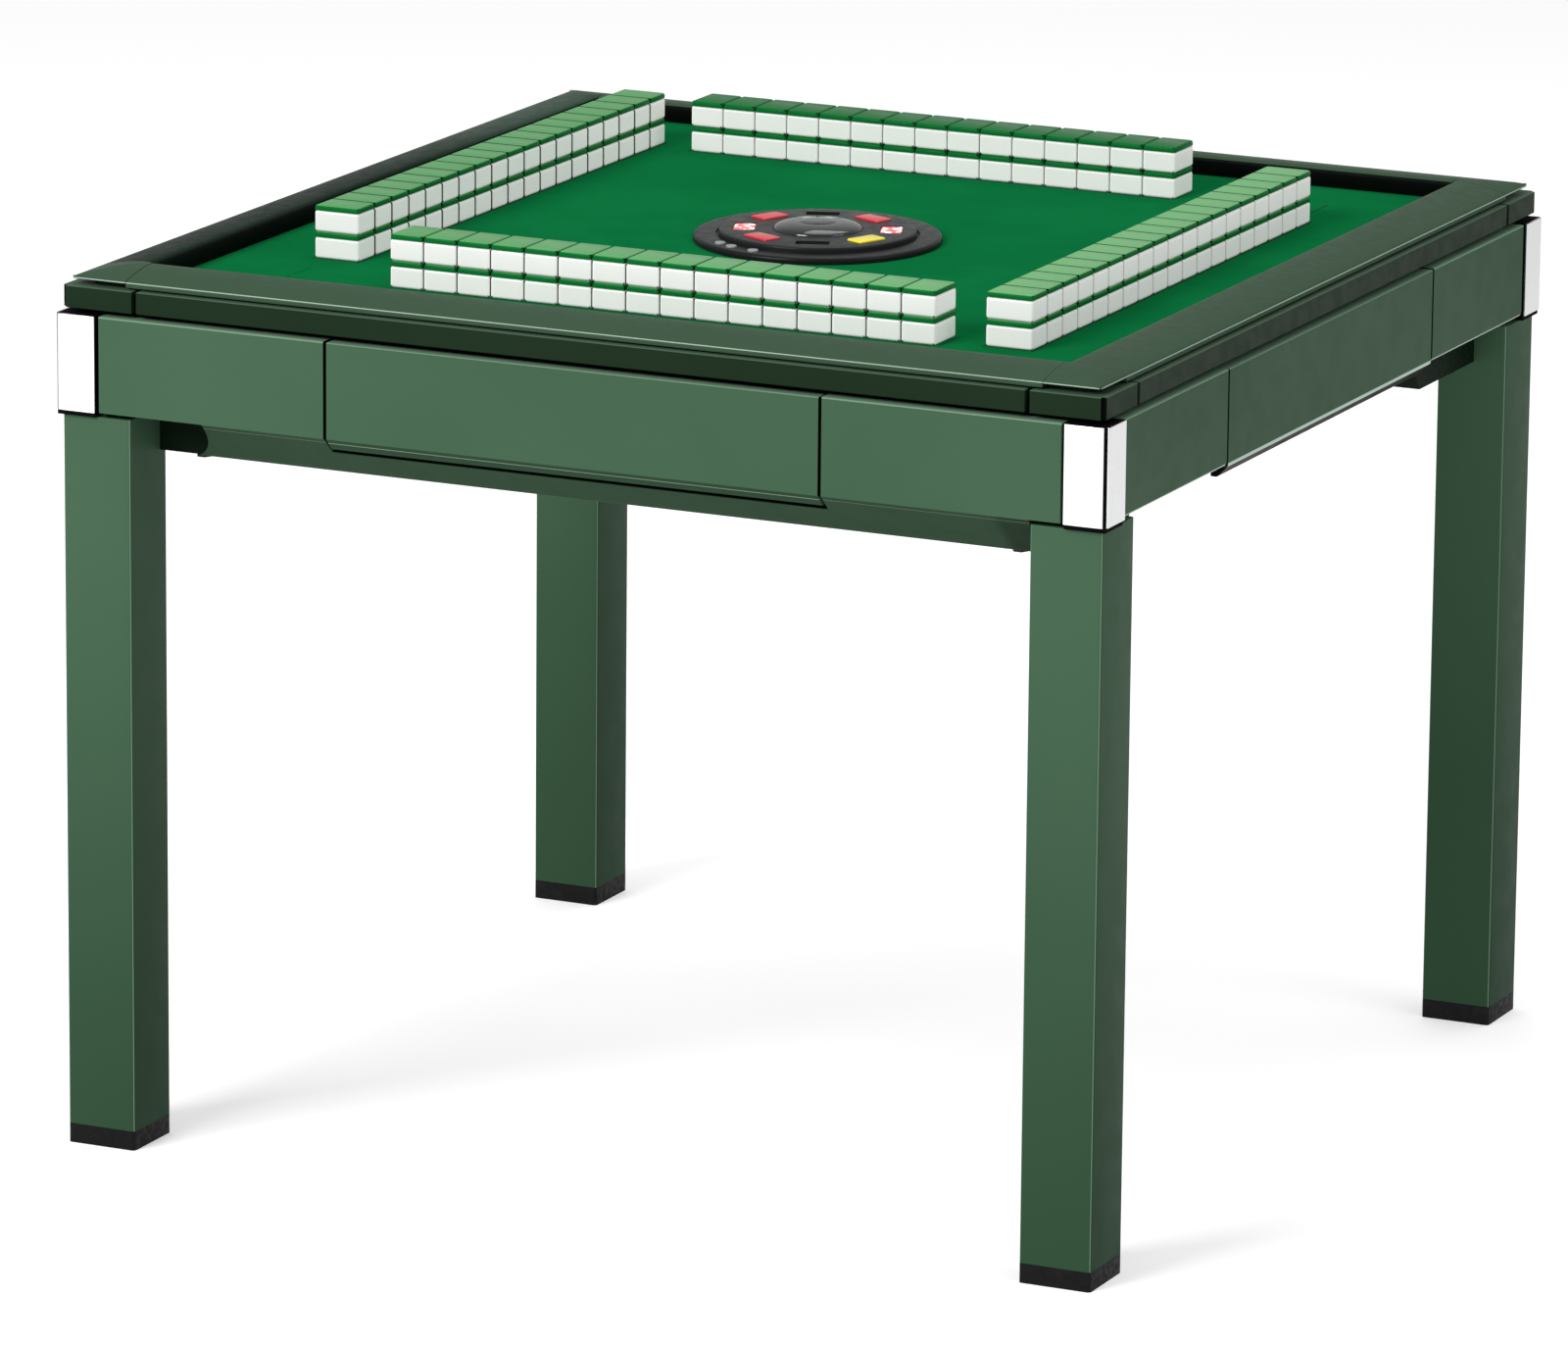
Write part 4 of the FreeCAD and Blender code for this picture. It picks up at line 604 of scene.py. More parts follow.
face = block("drawer_front_face", (-FACE_HALF, -PANEL_FACE, CASE_LOW),
             (FACE_HALF, -PANEL_BACK, FACE_TOP))
choose(face, "FACE", lambda middle, aim: aim.z < -SQUARE)
extrude((0, LIP_REACH, -LIP_DROP))
choose(face, "EDGE", lambda middle, run: middle.z < LIP_FOOT and middle.y > LIP_MIDDLE
       and abs(run.x) > LONG_RUN)
bpy.ops.transform.translate(value=(0, -LIP_TAPER, 0))
soften(face, FOLD)
for quarter, side in enumerate(SIDES):
    made = turned(face, quarter, "drawer_%s_face" % side) if quarter else face
    settle(made, painted_green, "painted_green", "drawer_" + side, "drawer_face_" + side)
    carry_over(tray_plastic, "drawer_tray_" + side)


# ---------------------------------------------------------------- lid bands
# Dark green bands of extruded plastic along the lid's four sides, and an angled block at each
# corner, with a square groove down its edge.

STRIP_FACE, STRIP_BACK = 0.475, 0.455
STRIP_LOW, STRIP_TOP = 0.727, 0.746
STRIP_END, BLOCK_NEAR = 0.405, 0.409
GROOVE, GROOVE_PAINT, BAND_HIGHLIGHT_LINE = 0.0035, 0.4713, 0.7453
band = Finish("dark_green_band", Specular_IOR_Level=0.03)
# Painted shade blackens the groove down each corner block.
painted_groove_shade = (band.along("X") > GROOVE_PAINT) * (band.along("Y") > GROOVE_PAINT)
band_coat = band.mix(band.noise(6), tone(21, 37, 23), tone(27, 43, 29))
# A painted highlight lightens the bands' top edge.
band_coat = band.mix(band.along("Z") > BAND_HIGHLIGHT_LINE, band_coat, tone(66, 86, 70))
lid_dark_green = band.paint(
    Base_Color=band.mix(painted_groove_shade, band_coat, tone(3, 4, 3)),
    Roughness=band.wander(band.noise(60), 0.36, 0.46),
    Normal=band.bump(band.noise(900), 0.0001, 0.3))
strip = soften(block("lid_strip_front", (-STRIP_END, -STRIP_FACE, STRIP_LOW),
                     (STRIP_END, -STRIP_BACK, STRIP_TOP)), 0.0012)
set_round(strip, "lid_strip_", SIDES, lid_dark_green, "lid_dark_green", "frame", "lid_strips")
angle = block("lid_block_front_right", (BLOCK_NEAR, -STRIP_FACE, STRIP_LOW),
              (STRIP_FACE, -BLOCK_NEAR, STRIP_TOP))
carve(angle,
      block("block_inside", (BLOCK_NEAR - PAST, -STRIP_BACK, STRIP_LOW - PAST),
            (STRIP_BACK, -BLOCK_NEAR + PAST, STRIP_TOP + PAST)),
      block("block_groove", (STRIP_FACE - GROOVE, -STRIP_FACE - PAST, STRIP_LOW - PAST),
            (STRIP_FACE + PAST, -STRIP_FACE + GROOVE, STRIP_TOP + PAST)))
soften(angle, 0.0008)
set_round(angle, "lid_block_", CORNERS, lid_dark_green, "lid_dark_green", "frame",
          "lid_corner_blocks")


# ---------------------------------------------------------------- rim
# The raised rim is a satin grey-green plastic moulding in eight pieces: four rails and four
# mitred corners with a rounded tip. Its top is crowned and rolls over to the cloth inside.

RIM_FAR, RIM_NEAR, RIM_SEAT = 0.469, 0.418, 0.453
RIM_LOW, RIM_CORNER_LOW, RIM_FOOT, RIM_EDGE = 0.7475, 0.751, 0.743, 0.7535
RIM_JOINT, TIP_ROUND, TIP_RUN = 0.0004, 0.004, 0.001
RIM_ROLL, RIM_EDGE_OUT, RIM_EDGE_LINE, RIM_EDGE_HALF = 0.4192, 0.4684, 0.7518, 0.0004
FADE_START, FADE_END = 0.0, 0.4
RIM_CROWN = [(0.4180, 0.7556), (0.4187, 0.7576), (0.4202, 0.7591), (0.4226, 0.7599),
             (0.4270, 0.7600), (0.4330, 0.7597), (0.4400, 0.7589), (0.4470, 0.7578),
             (0.4530, 0.7567), (0.4600, 0.7552), (0.4645, 0.7540), (0.4670, 0.7532),
             (0.4684, 0.7525), (0.4690, 0.7516)]

# The left rail carries painted shade, darker towards the front, the roll down to the cloth is
# black with painted shade, and a painted highlight lightens the outer edge.
satin = Finish("rim_satin_moulding", Specular_IOR_Level=0.02)
satin_reach = satin.node("ShaderNodeMath", {"operation": "MAXIMUM"},
                         {0: satin.along("X"), 1: satin.along("Y")})
satin_coat = satin.mix(satin.noise(8, 3.0), tone(52, 74, 56), tone(57, 79, 61))
painted_left_rail_shade = satin.mix(satin.range(satin.spot("Y"), FADE_START, FADE_END),
                      tone(8, 30, 17), tone(46, 68, 54))
left_rail = (satin.spot("X") < -RIM_NEAR) * (satin.spot("Y") > -RIM_NEAR)
satin_coat = satin.mix(left_rail, satin_coat, painted_left_rail_shade)
satin_coat = satin.mix(satin_reach < RIM_ROLL, satin_coat, tone(5, 8, 6))
# A painted highlight lightens the rim's outer edge.
painted_rim_highlight = ((satin_reach > RIM_EDGE_OUT)
              * (satin.apart(satin.along("Z"), RIM_EDGE_LINE) < RIM_EDGE_HALF))
rim_grey_green = satin.paint(
    Base_Color=satin.mix(painted_rim_highlight, satin_coat, tone(150, 166, 152)),
    Roughness=satin.wander(satin.noise(90, 3.0), 0.34, 0.42),
    Normal=satin.bump(satin.noise(1400), 0.00008, 0.3))


def slice_at(piece, place, aim):
    """Cuts new edges where a plane crosses the piece."""
    choose(piece, "FACE", lambda middle, normal: True)
    bpy.ops.mesh.bisect(plane_co=place, plane_no=aim)


def crown(piece, top):
    """Lifts each line of the flat top, at its distance from the middle, to the crown."""
    for line, height in RIM_CROWN:
        choose(piece, "VERT", lambda spot, normal: spot.z > top - HAIR
               and abs(max(abs(spot.x), abs(spot.y)) - line) < HAIR / 2)
        bpy.ops.transform.translate(value=(0, 0, height - top))
    pick(piece)


rail = block("rim_rail_front", (-RIM_NEAR + RIM_JOINT, -RIM_FAR, RIM_LOW),
             (RIM_NEAR - RIM_JOINT, -RIM_NEAR, RIM_EDGE))
slice_at(rail, (0, -RIM_SEAT, 0), (0, 1, 0))
choose(rail, "FACE", lambda middle, aim: aim.z < -SQUARE and middle.y > -RIM_SEAT)
extrude((0, 0, RIM_FOOT - RIM_LOW))
for line, height in RIM_CROWN[1:-1]:
    if line != RIM_SEAT:
        slice_at(rail, (0, -line, 0), (0, 1, 0))
crown(rail, RIM_EDGE)
soften(rail, 0.0006, 2, 50)
set_round(rail, "rim_rail_", SIDES, rim_grey_green, "rim_grey_green", "frame", "rim_rails")

tip = block("rim_corner_front_right", (RIM_NEAR, -RIM_FAR, RIM_CORNER_LOW),
            (RIM_FAR, -RIM_NEAR, RIM_EDGE))
slice_at(tip, (0, -RIM_SEAT, 0), (0, 1, 0))
slice_at(tip, (RIM_SEAT, 0, 0), (1, 0, 0))
choose(tip, "FACE", lambda middle, aim: aim.z < -SQUARE and middle.y > -RIM_SEAT
       and middle.x < RIM_SEAT)
extrude((0, 0, RIM_FOOT - RIM_CORNER_LOW))
round_edges(tip, lambda middle, run: abs(run.z) > TIP_RUN and middle.x > RIM_FAR - HAIR
            and middle.y < -RIM_FAR + HAIR, TIP_ROUND, 5)
for line, height in RIM_CROWN[1:-1]:
    if line != RIM_SEAT:
        slice_at(tip, (0, -line, 0), (0, 1, 0))
        slice_at(tip, (line, 0, 0), (1, 0, 0))
slice_at(tip, (RIM_SEAT, -RIM_SEAT, 0), (1, 1, 0))
crown(tip, RIM_EDGE)
for quarter, corner in enumerate(CORNERS):
    made = turned(tip, quarter, "rim_corner_" + corner) if quarter else tip
    settle(made, rim_grey_green, "rim_grey_green", "frame", "rim_corners")
    pick(made)
    bpy.ops.object.shade_smooth_by_angle(angle=math.radians(35))


# ---------------------------------------------------------------- play board and cloth
# Birch plywood with a slot for each tile lift and a round hole in the middle, and on it green
# felted cloth, stretched, glued down and cut out with the board.

SHEET_HALF = 0.455
CLOTH_LOW, CLOTH_TOP = 0.740, 0.743
LIFT_SHIFT, LIFT_HALF = -0.030, 0.300
LIFT_NEAR, LIFT_FAR = 0.304, 0.346
SLOT_ROOM = 0.001
CENTRE_HOLE = 0.103
BOARD_CUT_LOW, BOARD_CUT_TOP = 0.70, 0.78
ply = Finish("birch_plywood", Roughness=0.6)
ply_layers = ply.range(ply.noise(90, 4.0, 0.6, (0.2, 0.2, 14.0)), 0.4, 0.6)
board_wood = ply.paint(
    Base_Color=ply.mix(ply_layers, tone(198, 170, 128), tone(168, 136, 94)),
    Normal=ply.bump(ply_layers, 0.0002, 0.4))
carry_over(board_wood, "play_board")

felt = Finish("green_felt", Roughness=0.95, Specular_IOR_Level=0.0)
felt_fibre = felt.noise(1900, 4.0, 0.7)


def felted(finish, fibre):
    """The cloth's green, clouded by its nap and flecked by its fibres."""
    nap = finish.wander(finish.noise(9, 4.0, 0.6))
    return finish.mix(finish.range(fibre, 0.35, 0.65) * 0.35,
                      finish.mix(nap, tone(10, 102, 54), tone(13, 110, 59)), tone(7, 86, 44))


play_cloth = felt.paint(Base_Color=felted(felt, felt_fibre),
                        Normal=felt.bump(felt_fibre, 0.0004, 0.5))


def lift_gap(quarter):
    """The block that cuts the slot of one lift."""
    half = LIFT_HALF + SLOT_ROOM
    gap = block("slot", (LIFT_SHIFT - half, -LIFT_FAR - SLOT_ROOM, BOARD_CUT_LOW),
                (LIFT_SHIFT + half, -LIFT_NEAR + SLOT_ROOM, BOARD_CUT_TOP))
    made = turned(gap, quarter, "slot_turned")
    bpy.data.objects.remove(gap)
    return made


cloth = block("play_cloth_sheet", (-SHEET_HALF, -SHEET_HALF, CLOTH_LOW),
              (SHEET_HALF, SHEET_HALF, CLOTH_TOP))
carve(cloth, *[lift_gap(quarter) for quarter in range(4)],
      pillar("cloth_hole", (0, 0), BOARD_CUT_LOW, BOARD_CUT_TOP, CENTRE_HOLE, 96))
soften(cloth, 0.0004, 2)
settle(cloth, play_cloth, "play_cloth", "frame", "play_cloth")


# ---------------------------------------------------------------- tile lifts
# Long narrow platforms of grey plastic with green cloth on top, on three steel stems: two run in
# brass bushes and the middle one comes out of an aluminium lifting cylinder.

PLATFORM_CLOTH = 0.7428
platform = Finish("platform_moulding", Specular_IOR_Level=0.0)
on_top = platform.along("Z") > PLATFORM_CLOTH
platform_fibre = platform.noise(1900, 4.0, 0.7)
platform_plastic = platform.paint(
    Base_Color=platform.mix(on_top, tone(70, 74, 72), felted(platform, platform_fibre)),
    Roughness=on_top * 0.5 + 0.45,
    Normal=platform.bump(platform_fibre, 0.0004, 0.5))
brass = Finish("turned_brass", Metallic=1.0)
bush_brass = brass.paint(
    Base_Color=brass.mix(brass.noise(120), tone(196, 160, 84), tone(214, 178, 104)),
    Roughness=brass.wander(brass.noise(600, 2.0, 0.5, (1, 1, 0.05)), 0.22, 0.38))
casting = Finish("cast_aluminium", Metallic=1.0, Roughness=0.42)
actuator_aluminium = casting.paint(
    Base_Color=casting.mix(casting.noise(90, 3.0), tone(150, 152, 154), tone(176, 178, 180)),
    Normal=casting.bump(casting.noise(1100, 3.0), 0.0002, 0.5))
carry_over(bush_brass, "lift_bushes")
carry_over(actuator_aluminium, "lift_actuators")
carry_over(platform_plastic, *["lift_platform_" + side for side in SIDES])


# ---------------------------------------------------------------- tiles
# Tiles of cast melamine in two layers face down: a white body with softly rounded edges and a
# green back bonded on it. Four walls stand pushed to the clockwise end of their lifts.

TILE_WIDE, TILE_LONG, TILE_WHITE, TILE_GREEN = 0.031, 0.042, 0.0185, 0.0045
TILE_PITCH = 0.0313316
TILE_FIRST = 0.252
STACKS = {"front": 16, "right": 19, "back": 15, "left": 19}
SEAM_WIDTHS = {"front": 0.0005, "right": 0.0009, "back": 0.0005, "left": 0.0009}
SEAM_END, PIT_WIDE, PIT_DEEP = 0.001, 0.0026, 0.0016
TILE_ROUND, BACK_ROUND, BACK_RUN = 0.0026, 0.0019, 0.004
PAINTED_GLOW_STRENGTH = 0.16
FAR_WALL_Y, FAR_WALL_X, TOP_FADE = 0.302, -0.300, 0.35

# The gaps between tiles are black with painted shade, white faces that look sideways carry a faint
# painted glow so that they stay white, the far wall's backs are a deeper green as painted shade,
# and the backs are painted lighter on top towards the right and darker on their sides, as painted
# light and shade.
ivory = Finish("white_melamine", Specular_IOR_Level=0.15)
ivory_coat = ivory.mix(ivory.noise(30, 3.0), tone(240, 240, 237), tone(246, 246, 244))
# A faint painted glow lights the white faces that look sideways.
painted_side_glow = ivory.mix(ivory.facing("X"), BLACK, WHITE)
tile_white = ivory.paint(
    Base_Color=ivory.mix(ivory.seam(), ivory_coat, tone(3, 6, 4)),
    Emission_Color=ivory.mix(ivory.seam(), painted_side_glow, BLACK), Emission_Strength=PAINTED_GLOW_STRENGTH,
    Roughness=ivory.wander(ivory.noise(200), 0.18, 0.28))
jade = Finish("green_melamine", Specular_IOR_Level=0.03)
# Painted shade deepens the green of the far wall's backs.
painted_far_wall_shade = (jade.spot("Y") > FAR_WALL_Y) * (jade.spot("X") > FAR_WALL_X)
# Painted light lightens the backs' tops towards the right.
painted_top_shading = jade.mix(jade.range(jade.spot("X"), -TOP_FADE, TOP_FADE), tone(86, 148, 92),
                    tone(106, 166, 110))
painted_top_shading = jade.mix(painted_far_wall_shade, painted_top_shading, tone(34, 104, 54))
# Painted shade darkens the backs' sides against their tops.
painted_back_shading = jade.mix(jade.range(jade.facing("Z"), 0.55, 0.95), tone(4, 104, 44), painted_top_shading)
tile_green = jade.paint(
    Base_Color=jade.mix(jade.seam(), painted_back_shading, tone(1, 12, 5)),
    Roughness=jade.wander(jade.noise(12), 0.2, 0.3))


def repeat(piece, step, count):
    """Sets copies of a piece's mesh in a row."""
    pick(piece)
    bpy.ops.object.modifier_add(type="ARRAY")
    row = piece.modifiers[-1]
    row.use_relative_offset, row.use_constant_offset = False, True
    row.constant_offset_displace, row.count = step, count
    bpy.ops.object.modifier_apply(modifier=row.name)


def tile_block(name, low, high):
    """One half of a tile at the first place of the front wall."""
    middle = -(LIFT_NEAR + LIFT_FAR) / 2
    return block(name, (TILE_FIRST - TILE_WIDE / 2, middle - TILE_LONG / 2, CLOTH_TOP + low),
                 (TILE_FIRST + TILE_WIDE / 2, middle + TILE_LONG / 2, CLOTH_TOP + high))


def mark_seams(row, count, width):
    """Marks for painted shade the points in the gaps of a row of tiles, but not those at its two
    ends.
    """
    marks = row.data.attributes.new("seam", "FLOAT", "POINT").data
    row_end = TILE_FIRST + TILE_WIDE / 2
    row_long = TILE_PITCH * (count - 1) + TILE_WIDE
    for point, mark in zip(row.data.vertices, marks):
        place = row_end - point.co.x
        if SEAM_END < place < row_long - SEAM_END:
            place = abs((place + TILE_PITCH / 2) % TILE_PITCH - TILE_PITCH / 2)
            level = point.co.z - CLOTH_TOP
            from_bed = min(level, TILE_WHITE + TILE_GREEN - level)
            from_face = TILE_LONG / 2 - abs(point.co.y + (LIFT_NEAR + LIFT_FAR) / 2)
            pit = place < PIT_WIDE and from_bed < PIT_DEEP and from_face < PIT_DEEP
            mark.value = float(pit or place < width)


body = tile_block("tile_body", 0, TILE_WHITE)
soften(body, TILE_ROUND, 4)
back = tile_block("tile_back", TILE_WHITE, TILE_WHITE + TILE_GREEN)
round_edges(back, lambda middle, run: abs(run.z) > BACK_RUN, TILE_ROUND, 3)
round_edges(back, lambda middle, run: middle.z > CLOTH_TOP + TILE_WHITE + BACK_RUN
            and abs(run.z) < HAIR, BACK_ROUND, 2)
soften(back, 0.0002, 1, 60)
for quarter, side in enumerate(SIDES):
    for source, name, material, slot in ((body, "tiles_", tile_white, "tile_white"),
                                         (back, "tile_backs_", tile_green, "tile_green")):
        made = turned(source, 0, name + side + "_wall")
        repeat(made, (-TILE_PITCH, 0, 0), STACKS[side])
        mark_seams(made, STACKS[side], SEAM_WIDTHS[side])
        repeat(made, (0, 0, TILE_WHITE + TILE_GREEN), 2)
        made.rotation_euler.z = math.pi / 2 * quarter
        bpy.ops.object.transform_apply(location=False, rotation=True, scale=False)
        settle(made, material, slot, "wall_lift_" + side, name + side)
for source in (body, back):
    bpy.data.objects.remove(source)


# ---------------------------------------------------------------- shuffling unit
# A dished turntable of grey plastic turns on a nylon sleeve in the middle of the base board; a
# rubber roller at its edge, on a small motor, drives it.

wheel = Finish("grey_turntable_moulding", Roughness=0.4)
turntable_plastic = wheel.paint(
    Base_Color=wheel.mix(wheel.noise(12), tone(120, 124, 122), tone(136, 140, 138)),
    Normal=wheel.bump(wheel.noise(1000), 0.0001, 0.3))
sleeve = Finish("sleeve_nylon", Roughness=0.4)
sleeve_plastic = sleeve.paint(
    Base_Color=sleeve.mix(sleeve.noise(20), tone(206, 204, 196), tone(220, 218, 210)))
tyre = Finish("roller_tyre_rubber", Roughness=0.7)
roller_rubber = tyre.paint(
    Base_Color=tyre.mix(tyre.noise(70), tone(26, 26, 26), tone(40, 40, 40)),
    Normal=tyre.bump(tyre.noise(900), 0.0002, 0.4))
can = Finish("drawn_motor_steel", Metallic=1.0)
motor_steel = can.paint(
    Base_Color=can.mix(can.noise(60), tone(140, 140, 142), tone(164, 164, 166)),
    Roughness=can.wander(can.noise(700, 2.0, 0.5, (1, 1, 0.05)), 0.3, 0.5))
carry_over(turntable_plastic, "turntable")
carry_over(sleeve_plastic, "centre_sleeve")
carry_over(roller_rubber, "drive_roller")
carry_over(motor_steel, "turntable_motor")


# ---------------------------------------------------------------- control unit in the middle
# A shallow ring of satin charcoal plastic over the hole in the cloth, and on it a raised disc
# with a black groove round it, pockets for the pads and windows and a round opening for the dome.

UNIT_LOW, UNIT_TOP, UNIT_RADIUS, UNIT_BEVEL = 0.7433, 0.7490, 0.107, 0.003
COLUMN_BORE = 0.024
GROOVE_IN, GROOVE_OUT, GROOVE_DEEP = 0.0855, 0.0875, 0.002
DISC_RADIUS, DISC_TOP, DISC_BEVEL = 0.085, 0.7535, 0.002
DOME_ROOM = 0.0386
LAYOUT_TURN = 21
PAD_PLACE, PAD_LONG, PAD_DEEP, PAD_ROOM = 0.063, 0.029, 0.018, 0.0004
SLOT_DEEP, POCKET_ROUND = 0.014, 0.0016
KEY_PLACE, KEY_RADIUS, KEY_WELL = 0.096, 0.0048, 0.0045
KEY_ANGLES = [-146, -136, -121]
ring_satin = Finish("satin_charcoal", Specular_IOR_Level=0.12)
centre_charcoal = ring_satin.paint(
    Base_Color=ring_satin.mix(ring_satin.noise(25), tone(19, 20, 21), tone(26, 27, 28)),
    Roughness=ring_satin.wander(ring_satin.noise(120, 3.0), 0.28, 0.38))
disc_satin = Finish("satin_disc_charcoal", Specular_IOR_Level=0.12)
centre_disc_charcoal = disc_satin.paint(
    Base_Color=disc_satin.mix(disc_satin.noise(25), tone(28, 29, 30), tone(35, 36, 37)),
    Roughness=disc_satin.wander(disc_satin.noise(120, 3.0), 0.28, 0.38))
core = Finish("black_column_moulding", Roughness=0.5)
column_plastic = core.paint(
    Base_Color=core.mix(core.noise(40), tone(22, 22, 23), tone(30, 30, 31)))
carry_over(column_plastic, "centre_column")


def on_disc(name, degrees, size_round, size_across, low, high):
    """A block that faces the centre of the disc at an angle of the layout."""
    piece = block(name, (PAD_PLACE - size_across / 2, -size_round / 2, low),
                  (PAD_PLACE + size_across / 2, size_round / 2, high))
    round_edges(piece, lambda middle, run: abs(run.z) > (high - low) * SQUARE, POCKET_ROUND, 4)
    piece.rotation_euler.z = math.radians(LAYOUT_TURN + degrees)
    bpy.ops.object.transform_apply(location=False, rotation=True, scale=False)
    return piece


def key_spot(degrees):
    """Where a round key stands on the ring."""
    angle = math.radians(LAYOUT_TURN + degrees)
    return KEY_PLACE * math.cos(angle), KEY_PLACE * math.sin(angle)


ring = pillar("centre_ring", (0, 0), UNIT_LOW, UNIT_TOP, UNIT_RADIUS, 128)
round_edges(ring, lambda middle, run: middle.z > UNIT_TOP - HAIR, UNIT_BEVEL, 5)
carve(ring, pillar("ring_bore", (0, 0), UNIT_LOW - PAST, UNIT_TOP + PAST, COLUMN_BORE, 96),
      *[pillar("key_well", key_spot(degrees), UNIT_TOP - KEY_WELL, UNIT_TOP + PAST,
               KEY_RADIUS + PAD_ROOM, 32) for degrees in KEY_ANGLES])
groove = pillar("ring_groove", (0, 0), UNIT_TOP - GROOVE_DEEP, UNIT_TOP + PAST, GROOVE_OUT, 128)
carve(groove, pillar("groove_core", (0, 0), UNIT_TOP - PAST, UNIT_TOP + PAST * 2, GROOVE_IN, 128))
carve(ring, groove)
soften(ring, 0.0003, 2, 60)
settle(ring, centre_charcoal, "centre_charcoal", "centre_unit", "centre_base")

disc = pillar("centre_disc_top", (0, 0), UNIT_TOP, DISC_TOP, DISC_RADIUS, 128)
round_edges(disc, lambda middle, run: middle.z > DISC_TOP - HAIR, DISC_BEVEL, 4)
PADS = {"pad_north_east": 45, "pad_north_west": 135, "pad_south_west": 225,
        "pad_south_east": 315}
WINDOWS = {"east": 0, "west": 180}
PLAIN_SLOTS = {"north": 90, "south": 270}
pockets = [on_disc("pocket", degrees, PAD_LONG + PAD_ROOM * 2, PAD_DEEP + PAD_ROOM * 2,
                   UNIT_TOP - PAST, DISC_TOP + PAST)
           for degrees in list(PADS.values()) + list(WINDOWS.values())]
pockets += [on_disc("pocket", degrees, PAD_LONG, SLOT_DEEP, UNIT_TOP - PAST, DISC_TOP + PAST)
            for degrees in PLAIN_SLOTS.values()]
carve(disc, pillar("dome_room", (0, 0), UNIT_TOP - PAST, DISC_TOP + PAST, DOME_ROOM, 96),
      *pockets)
soften(disc, 0.0004, 2, 60)
settle(disc, centre_disc_charcoal, "centre_disc_charcoal", "centre_unit", "centre_disc")


# ---------------------------------------------------------------- pads, windows and keys
# Moulded translucent pads, three red and one yellow, spring up in their pockets; two windows are
# lit from below; three small round grey keys stand in wells on the ring.

PAD_LOW, PAD_TOP, PAD_ROUND = 0.7508, 0.7550, 0.0012
KEY_SINK, KEY_RISE, KEY_ROUND = 0.0028, 0.0016, 0.001


def pad_finish(name, deep, light):
    """Clear-coated acrylic between a deep and a light tone."""
    made = Finish(name, Roughness=0.28, Coat_Weight=0.5, Coat_Roughness=0.1)
    return made.paint(Base_Color=made.mix(made.noise(60), deep, light))


red_pad = pad_finish("red_acrylic", tone(200, 16, 38), tone(216, 24, 48))
yellow_pad = pad_finish("yellow_acrylic", tone(240, 218, 0), tone(250, 232, 10))
for name, degrees in PADS.items():
    pad = on_disc(name + "_button_top", degrees, PAD_LONG, PAD_DEEP, PAD_LOW, PAD_TOP)
    round_edges(pad, lambda middle, run: middle.z > PAD_TOP - HAIR, PAD_ROUND, 3)
    pick(pad)
    bpy.ops.object.shade_smooth_by_angle(angle=math.radians(50))
    colour, slot = (yellow_pad, "yellow_pad") if name == "pad_south_east" else (red_pad, "red_pad")
    settle(pad, colour, slot, name + "_button", name)

lit = Finish("lit_acrylic", Roughness=0.3, Emission_Strength=1.0)
# White spots on the lit windows are painted glints.
painted_glint_spot = lit.range(lit.noise(160, 1.0), 0.50, 0.66)
lit_window = lit.paint(
    Base_Color=lit.mix(painted_glint_spot, tone(214, 96, 104), tone(255, 250, 248)),
    Emission_Color=lit.mix(painted_glint_spot, tone(160, 44, 52), tone(255, 246, 242)))
windows = [on_disc("window_" + name, degrees, PAD_LONG, PAD_DEEP, UNIT_TOP, DISC_TOP - PAD_ROOM)
           for name, degrees in WINDOWS.items()]
for window in windows:
    soften(window, 0.0006, 2, 50)
settle(join("lit_windows_pair", *windows), lit_window, "lit_window", "centre_unit",
       "lit_windows")

key_face = Finish("grey_key_moulding", Roughness=0.32, Coat_Weight=0.3, Coat_Roughness=0.1)
round_key = key_face.paint(
    Base_Color=key_face.mix(key_face.noise(80), tone(120, 126, 126), tone(140, 146, 146)))
for number, degrees in enumerate(KEY_ANGLES, 1):
    key = pillar("round_key_%d_cap" % number, key_spot(degrees), UNIT_TOP - KEY_SINK,
                 UNIT_TOP + KEY_RISE, KEY_RADIUS, 32)
    round_edges(key, lambda middle, run: middle.z > UNIT_TOP + KEY_RISE - HAIR, KEY_ROUND, 3)
    pick(key)
    bpy.ops.object.shade_smooth_by_angle(angle=math.radians(50))
    settle(key, round_key, "round_key", "round_key_%d_button" % number,
           "round_key_%d" % number)


# ---------------------------------------------------------------- dome and dice
# A low dome of smoky acrylic, pressed thin, over two small white dice that lie on the cup in the
# column's top.

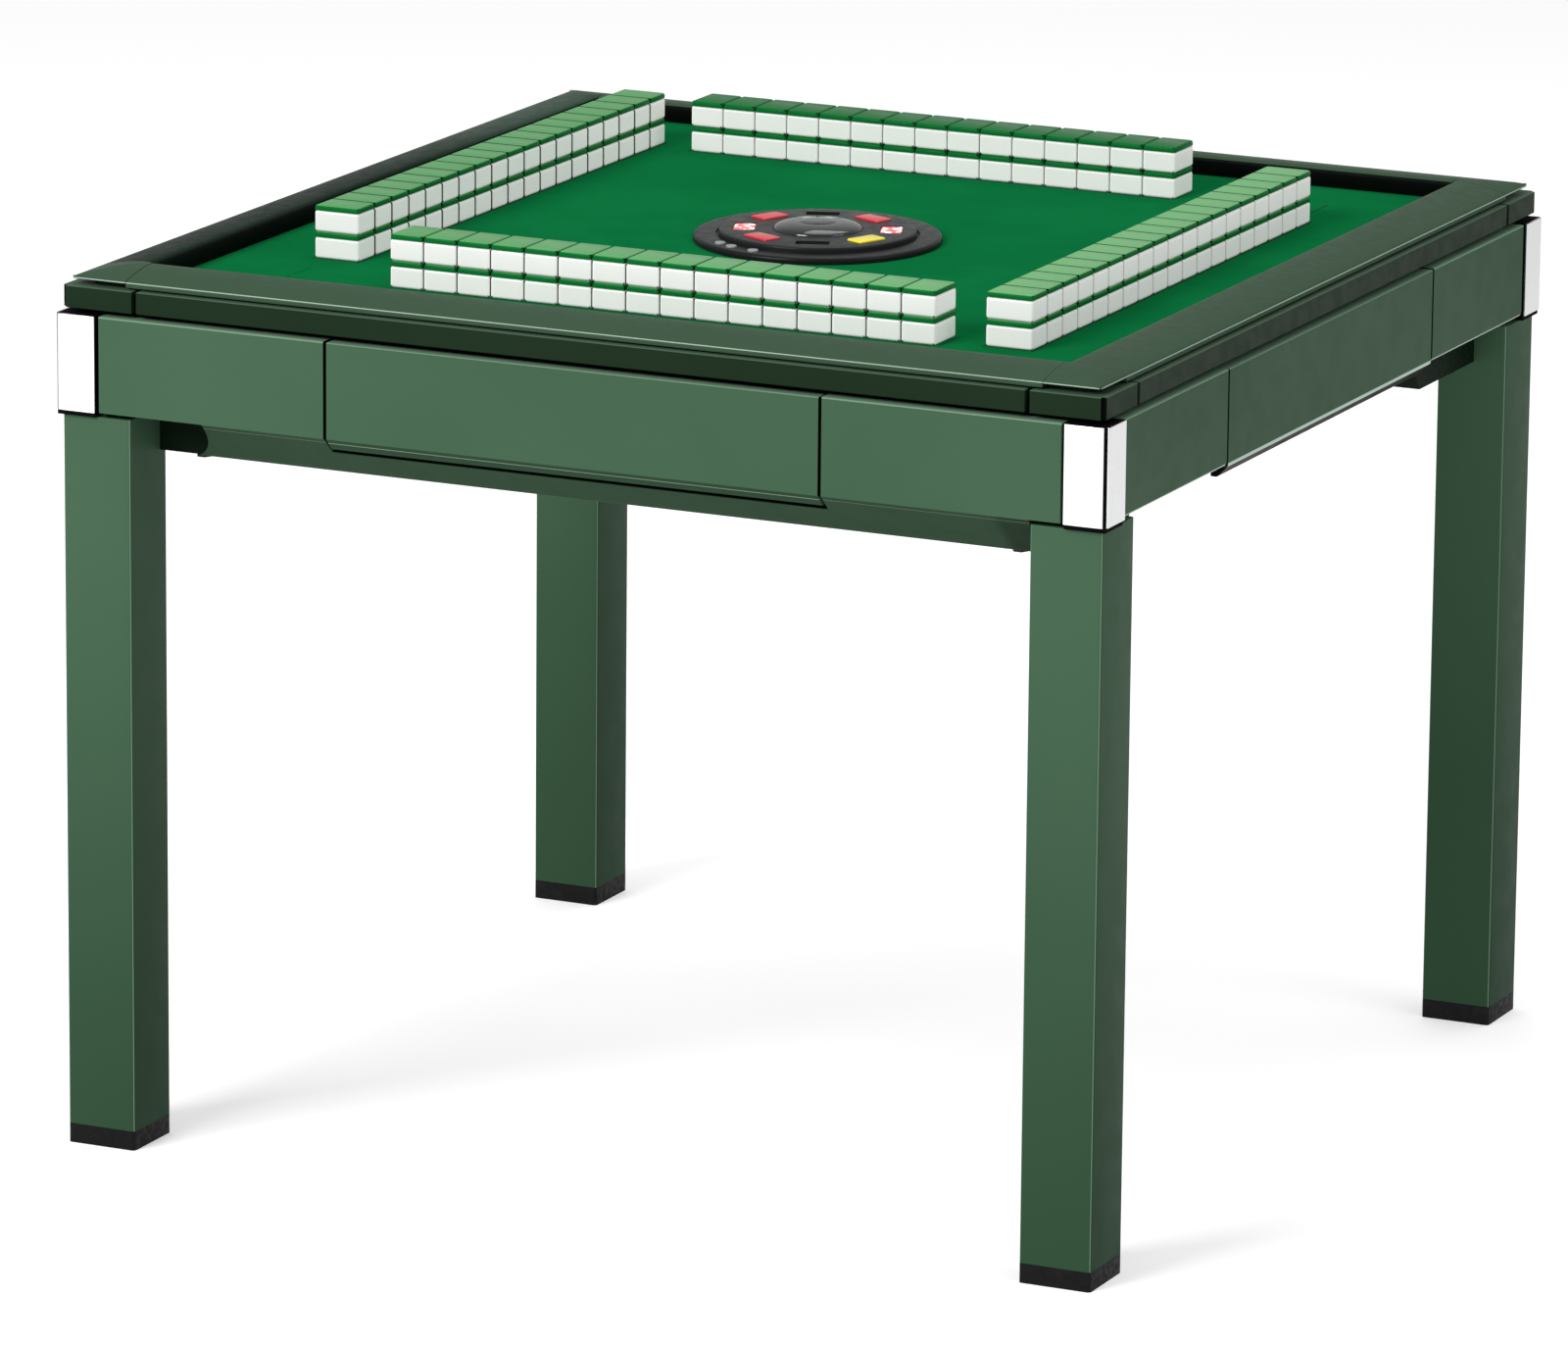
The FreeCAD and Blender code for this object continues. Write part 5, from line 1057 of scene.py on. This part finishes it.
DOME_RADIUS, DOME_WALL, DOME_TOP, DOME_RINGS, DOME_CAP = 0.0382, 0.0016, 0.7610, 10, 0.99
PIP_SCALE, PIP_SIZE = 260, 0.22
smoke = Finish("smoky_acrylic", Roughness=0.04, Transmission_Weight=0.75, IOR=1.45,
               Coat_Weight=0.5, Coat_Roughness=0.03)
smoky_dome = smoke.paint(
    Base_Color=smoke.mix(smoke.noise(40), tone(46, 50, 53), tone(56, 60, 63)))
dome = pillar("dice_dome_shell", (0, 0), UNIT_TOP, DISC_TOP, DOME_RADIUS, 96)
for number in range(1, DOME_RINGS):
    before, now = (math.radians(90 * step / DOME_RINGS) for step in (number - 1, number))
    choose(dome, "FACE", lambda middle, aim: aim.z > DOME_CAP)
    extrude((0, 0, (DOME_TOP - DISC_TOP) * (math.sin(now) - math.sin(before))))
    shrink = math.cos(now) / math.cos(before)
    bpy.ops.transform.resize(value=(shrink, shrink, 1), center_override=(0, 0, DISC_TOP))
choose(dome, "FACE", lambda middle, aim: aim.z < -DOME_CAP)
bpy.ops.mesh.delete(type="FACE")
pick(dome)
bpy.ops.object.modifier_add(type="SOLIDIFY")
dome.modifiers[-1].thickness, dome.modifiers[-1].offset = DOME_WALL, -1
bpy.ops.object.modifier_apply(modifier=dome.modifiers[-1].name)
bpy.ops.object.shade_smooth_by_angle(angle=math.radians(40))
settle(dome, smoky_dome, "smoky_dome", "centre_unit", "dice_dome")

bone = Finish("dice_melamine", Roughness=0.25)
pips = bone.node("ShaderNodeTexVoronoi", {"feature": "F1"},
                 {"Vector": bone.place, "Scale": PIP_SCALE})
dice_plastic = bone.paint(
    Base_Color=bone.mix(pips < PIP_SIZE, tone(236, 234, 226), tone(20, 20, 20)))
carry_over(dice_plastic, "dice")


# ---------------------------------------------------------------- electrics
# Under the base board a grey box holds the electronics, with the mains inlet and a black rocker
# switch on its far side.

grey_box = Finish("grey_box_moulding", Roughness=0.5)
control_box = grey_box.paint(
    Base_Color=grey_box.mix(grey_box.noise(14), tone(112, 114, 114), tone(124, 126, 126)),
    Normal=grey_box.bump(grey_box.noise(1000), 0.0001, 0.4))
socket = Finish("black_inlet_moulding", Roughness=0.45)
inlet_plastic = socket.paint(
    Base_Color=socket.mix(socket.noise(60), tone(18, 18, 18), tone(26, 26, 26)))
switch = Finish("black_rocker_moulding", Roughness=0.35)
switch_plastic = switch.paint(
    Base_Color=switch.mix(switch.noise(60), tone(24, 24, 25), tone(32, 32, 33)))
carry_over(control_box, "control_box")
carry_over(inlet_plastic, "power_inlet")
carry_over(switch_plastic, "rocker_switch")
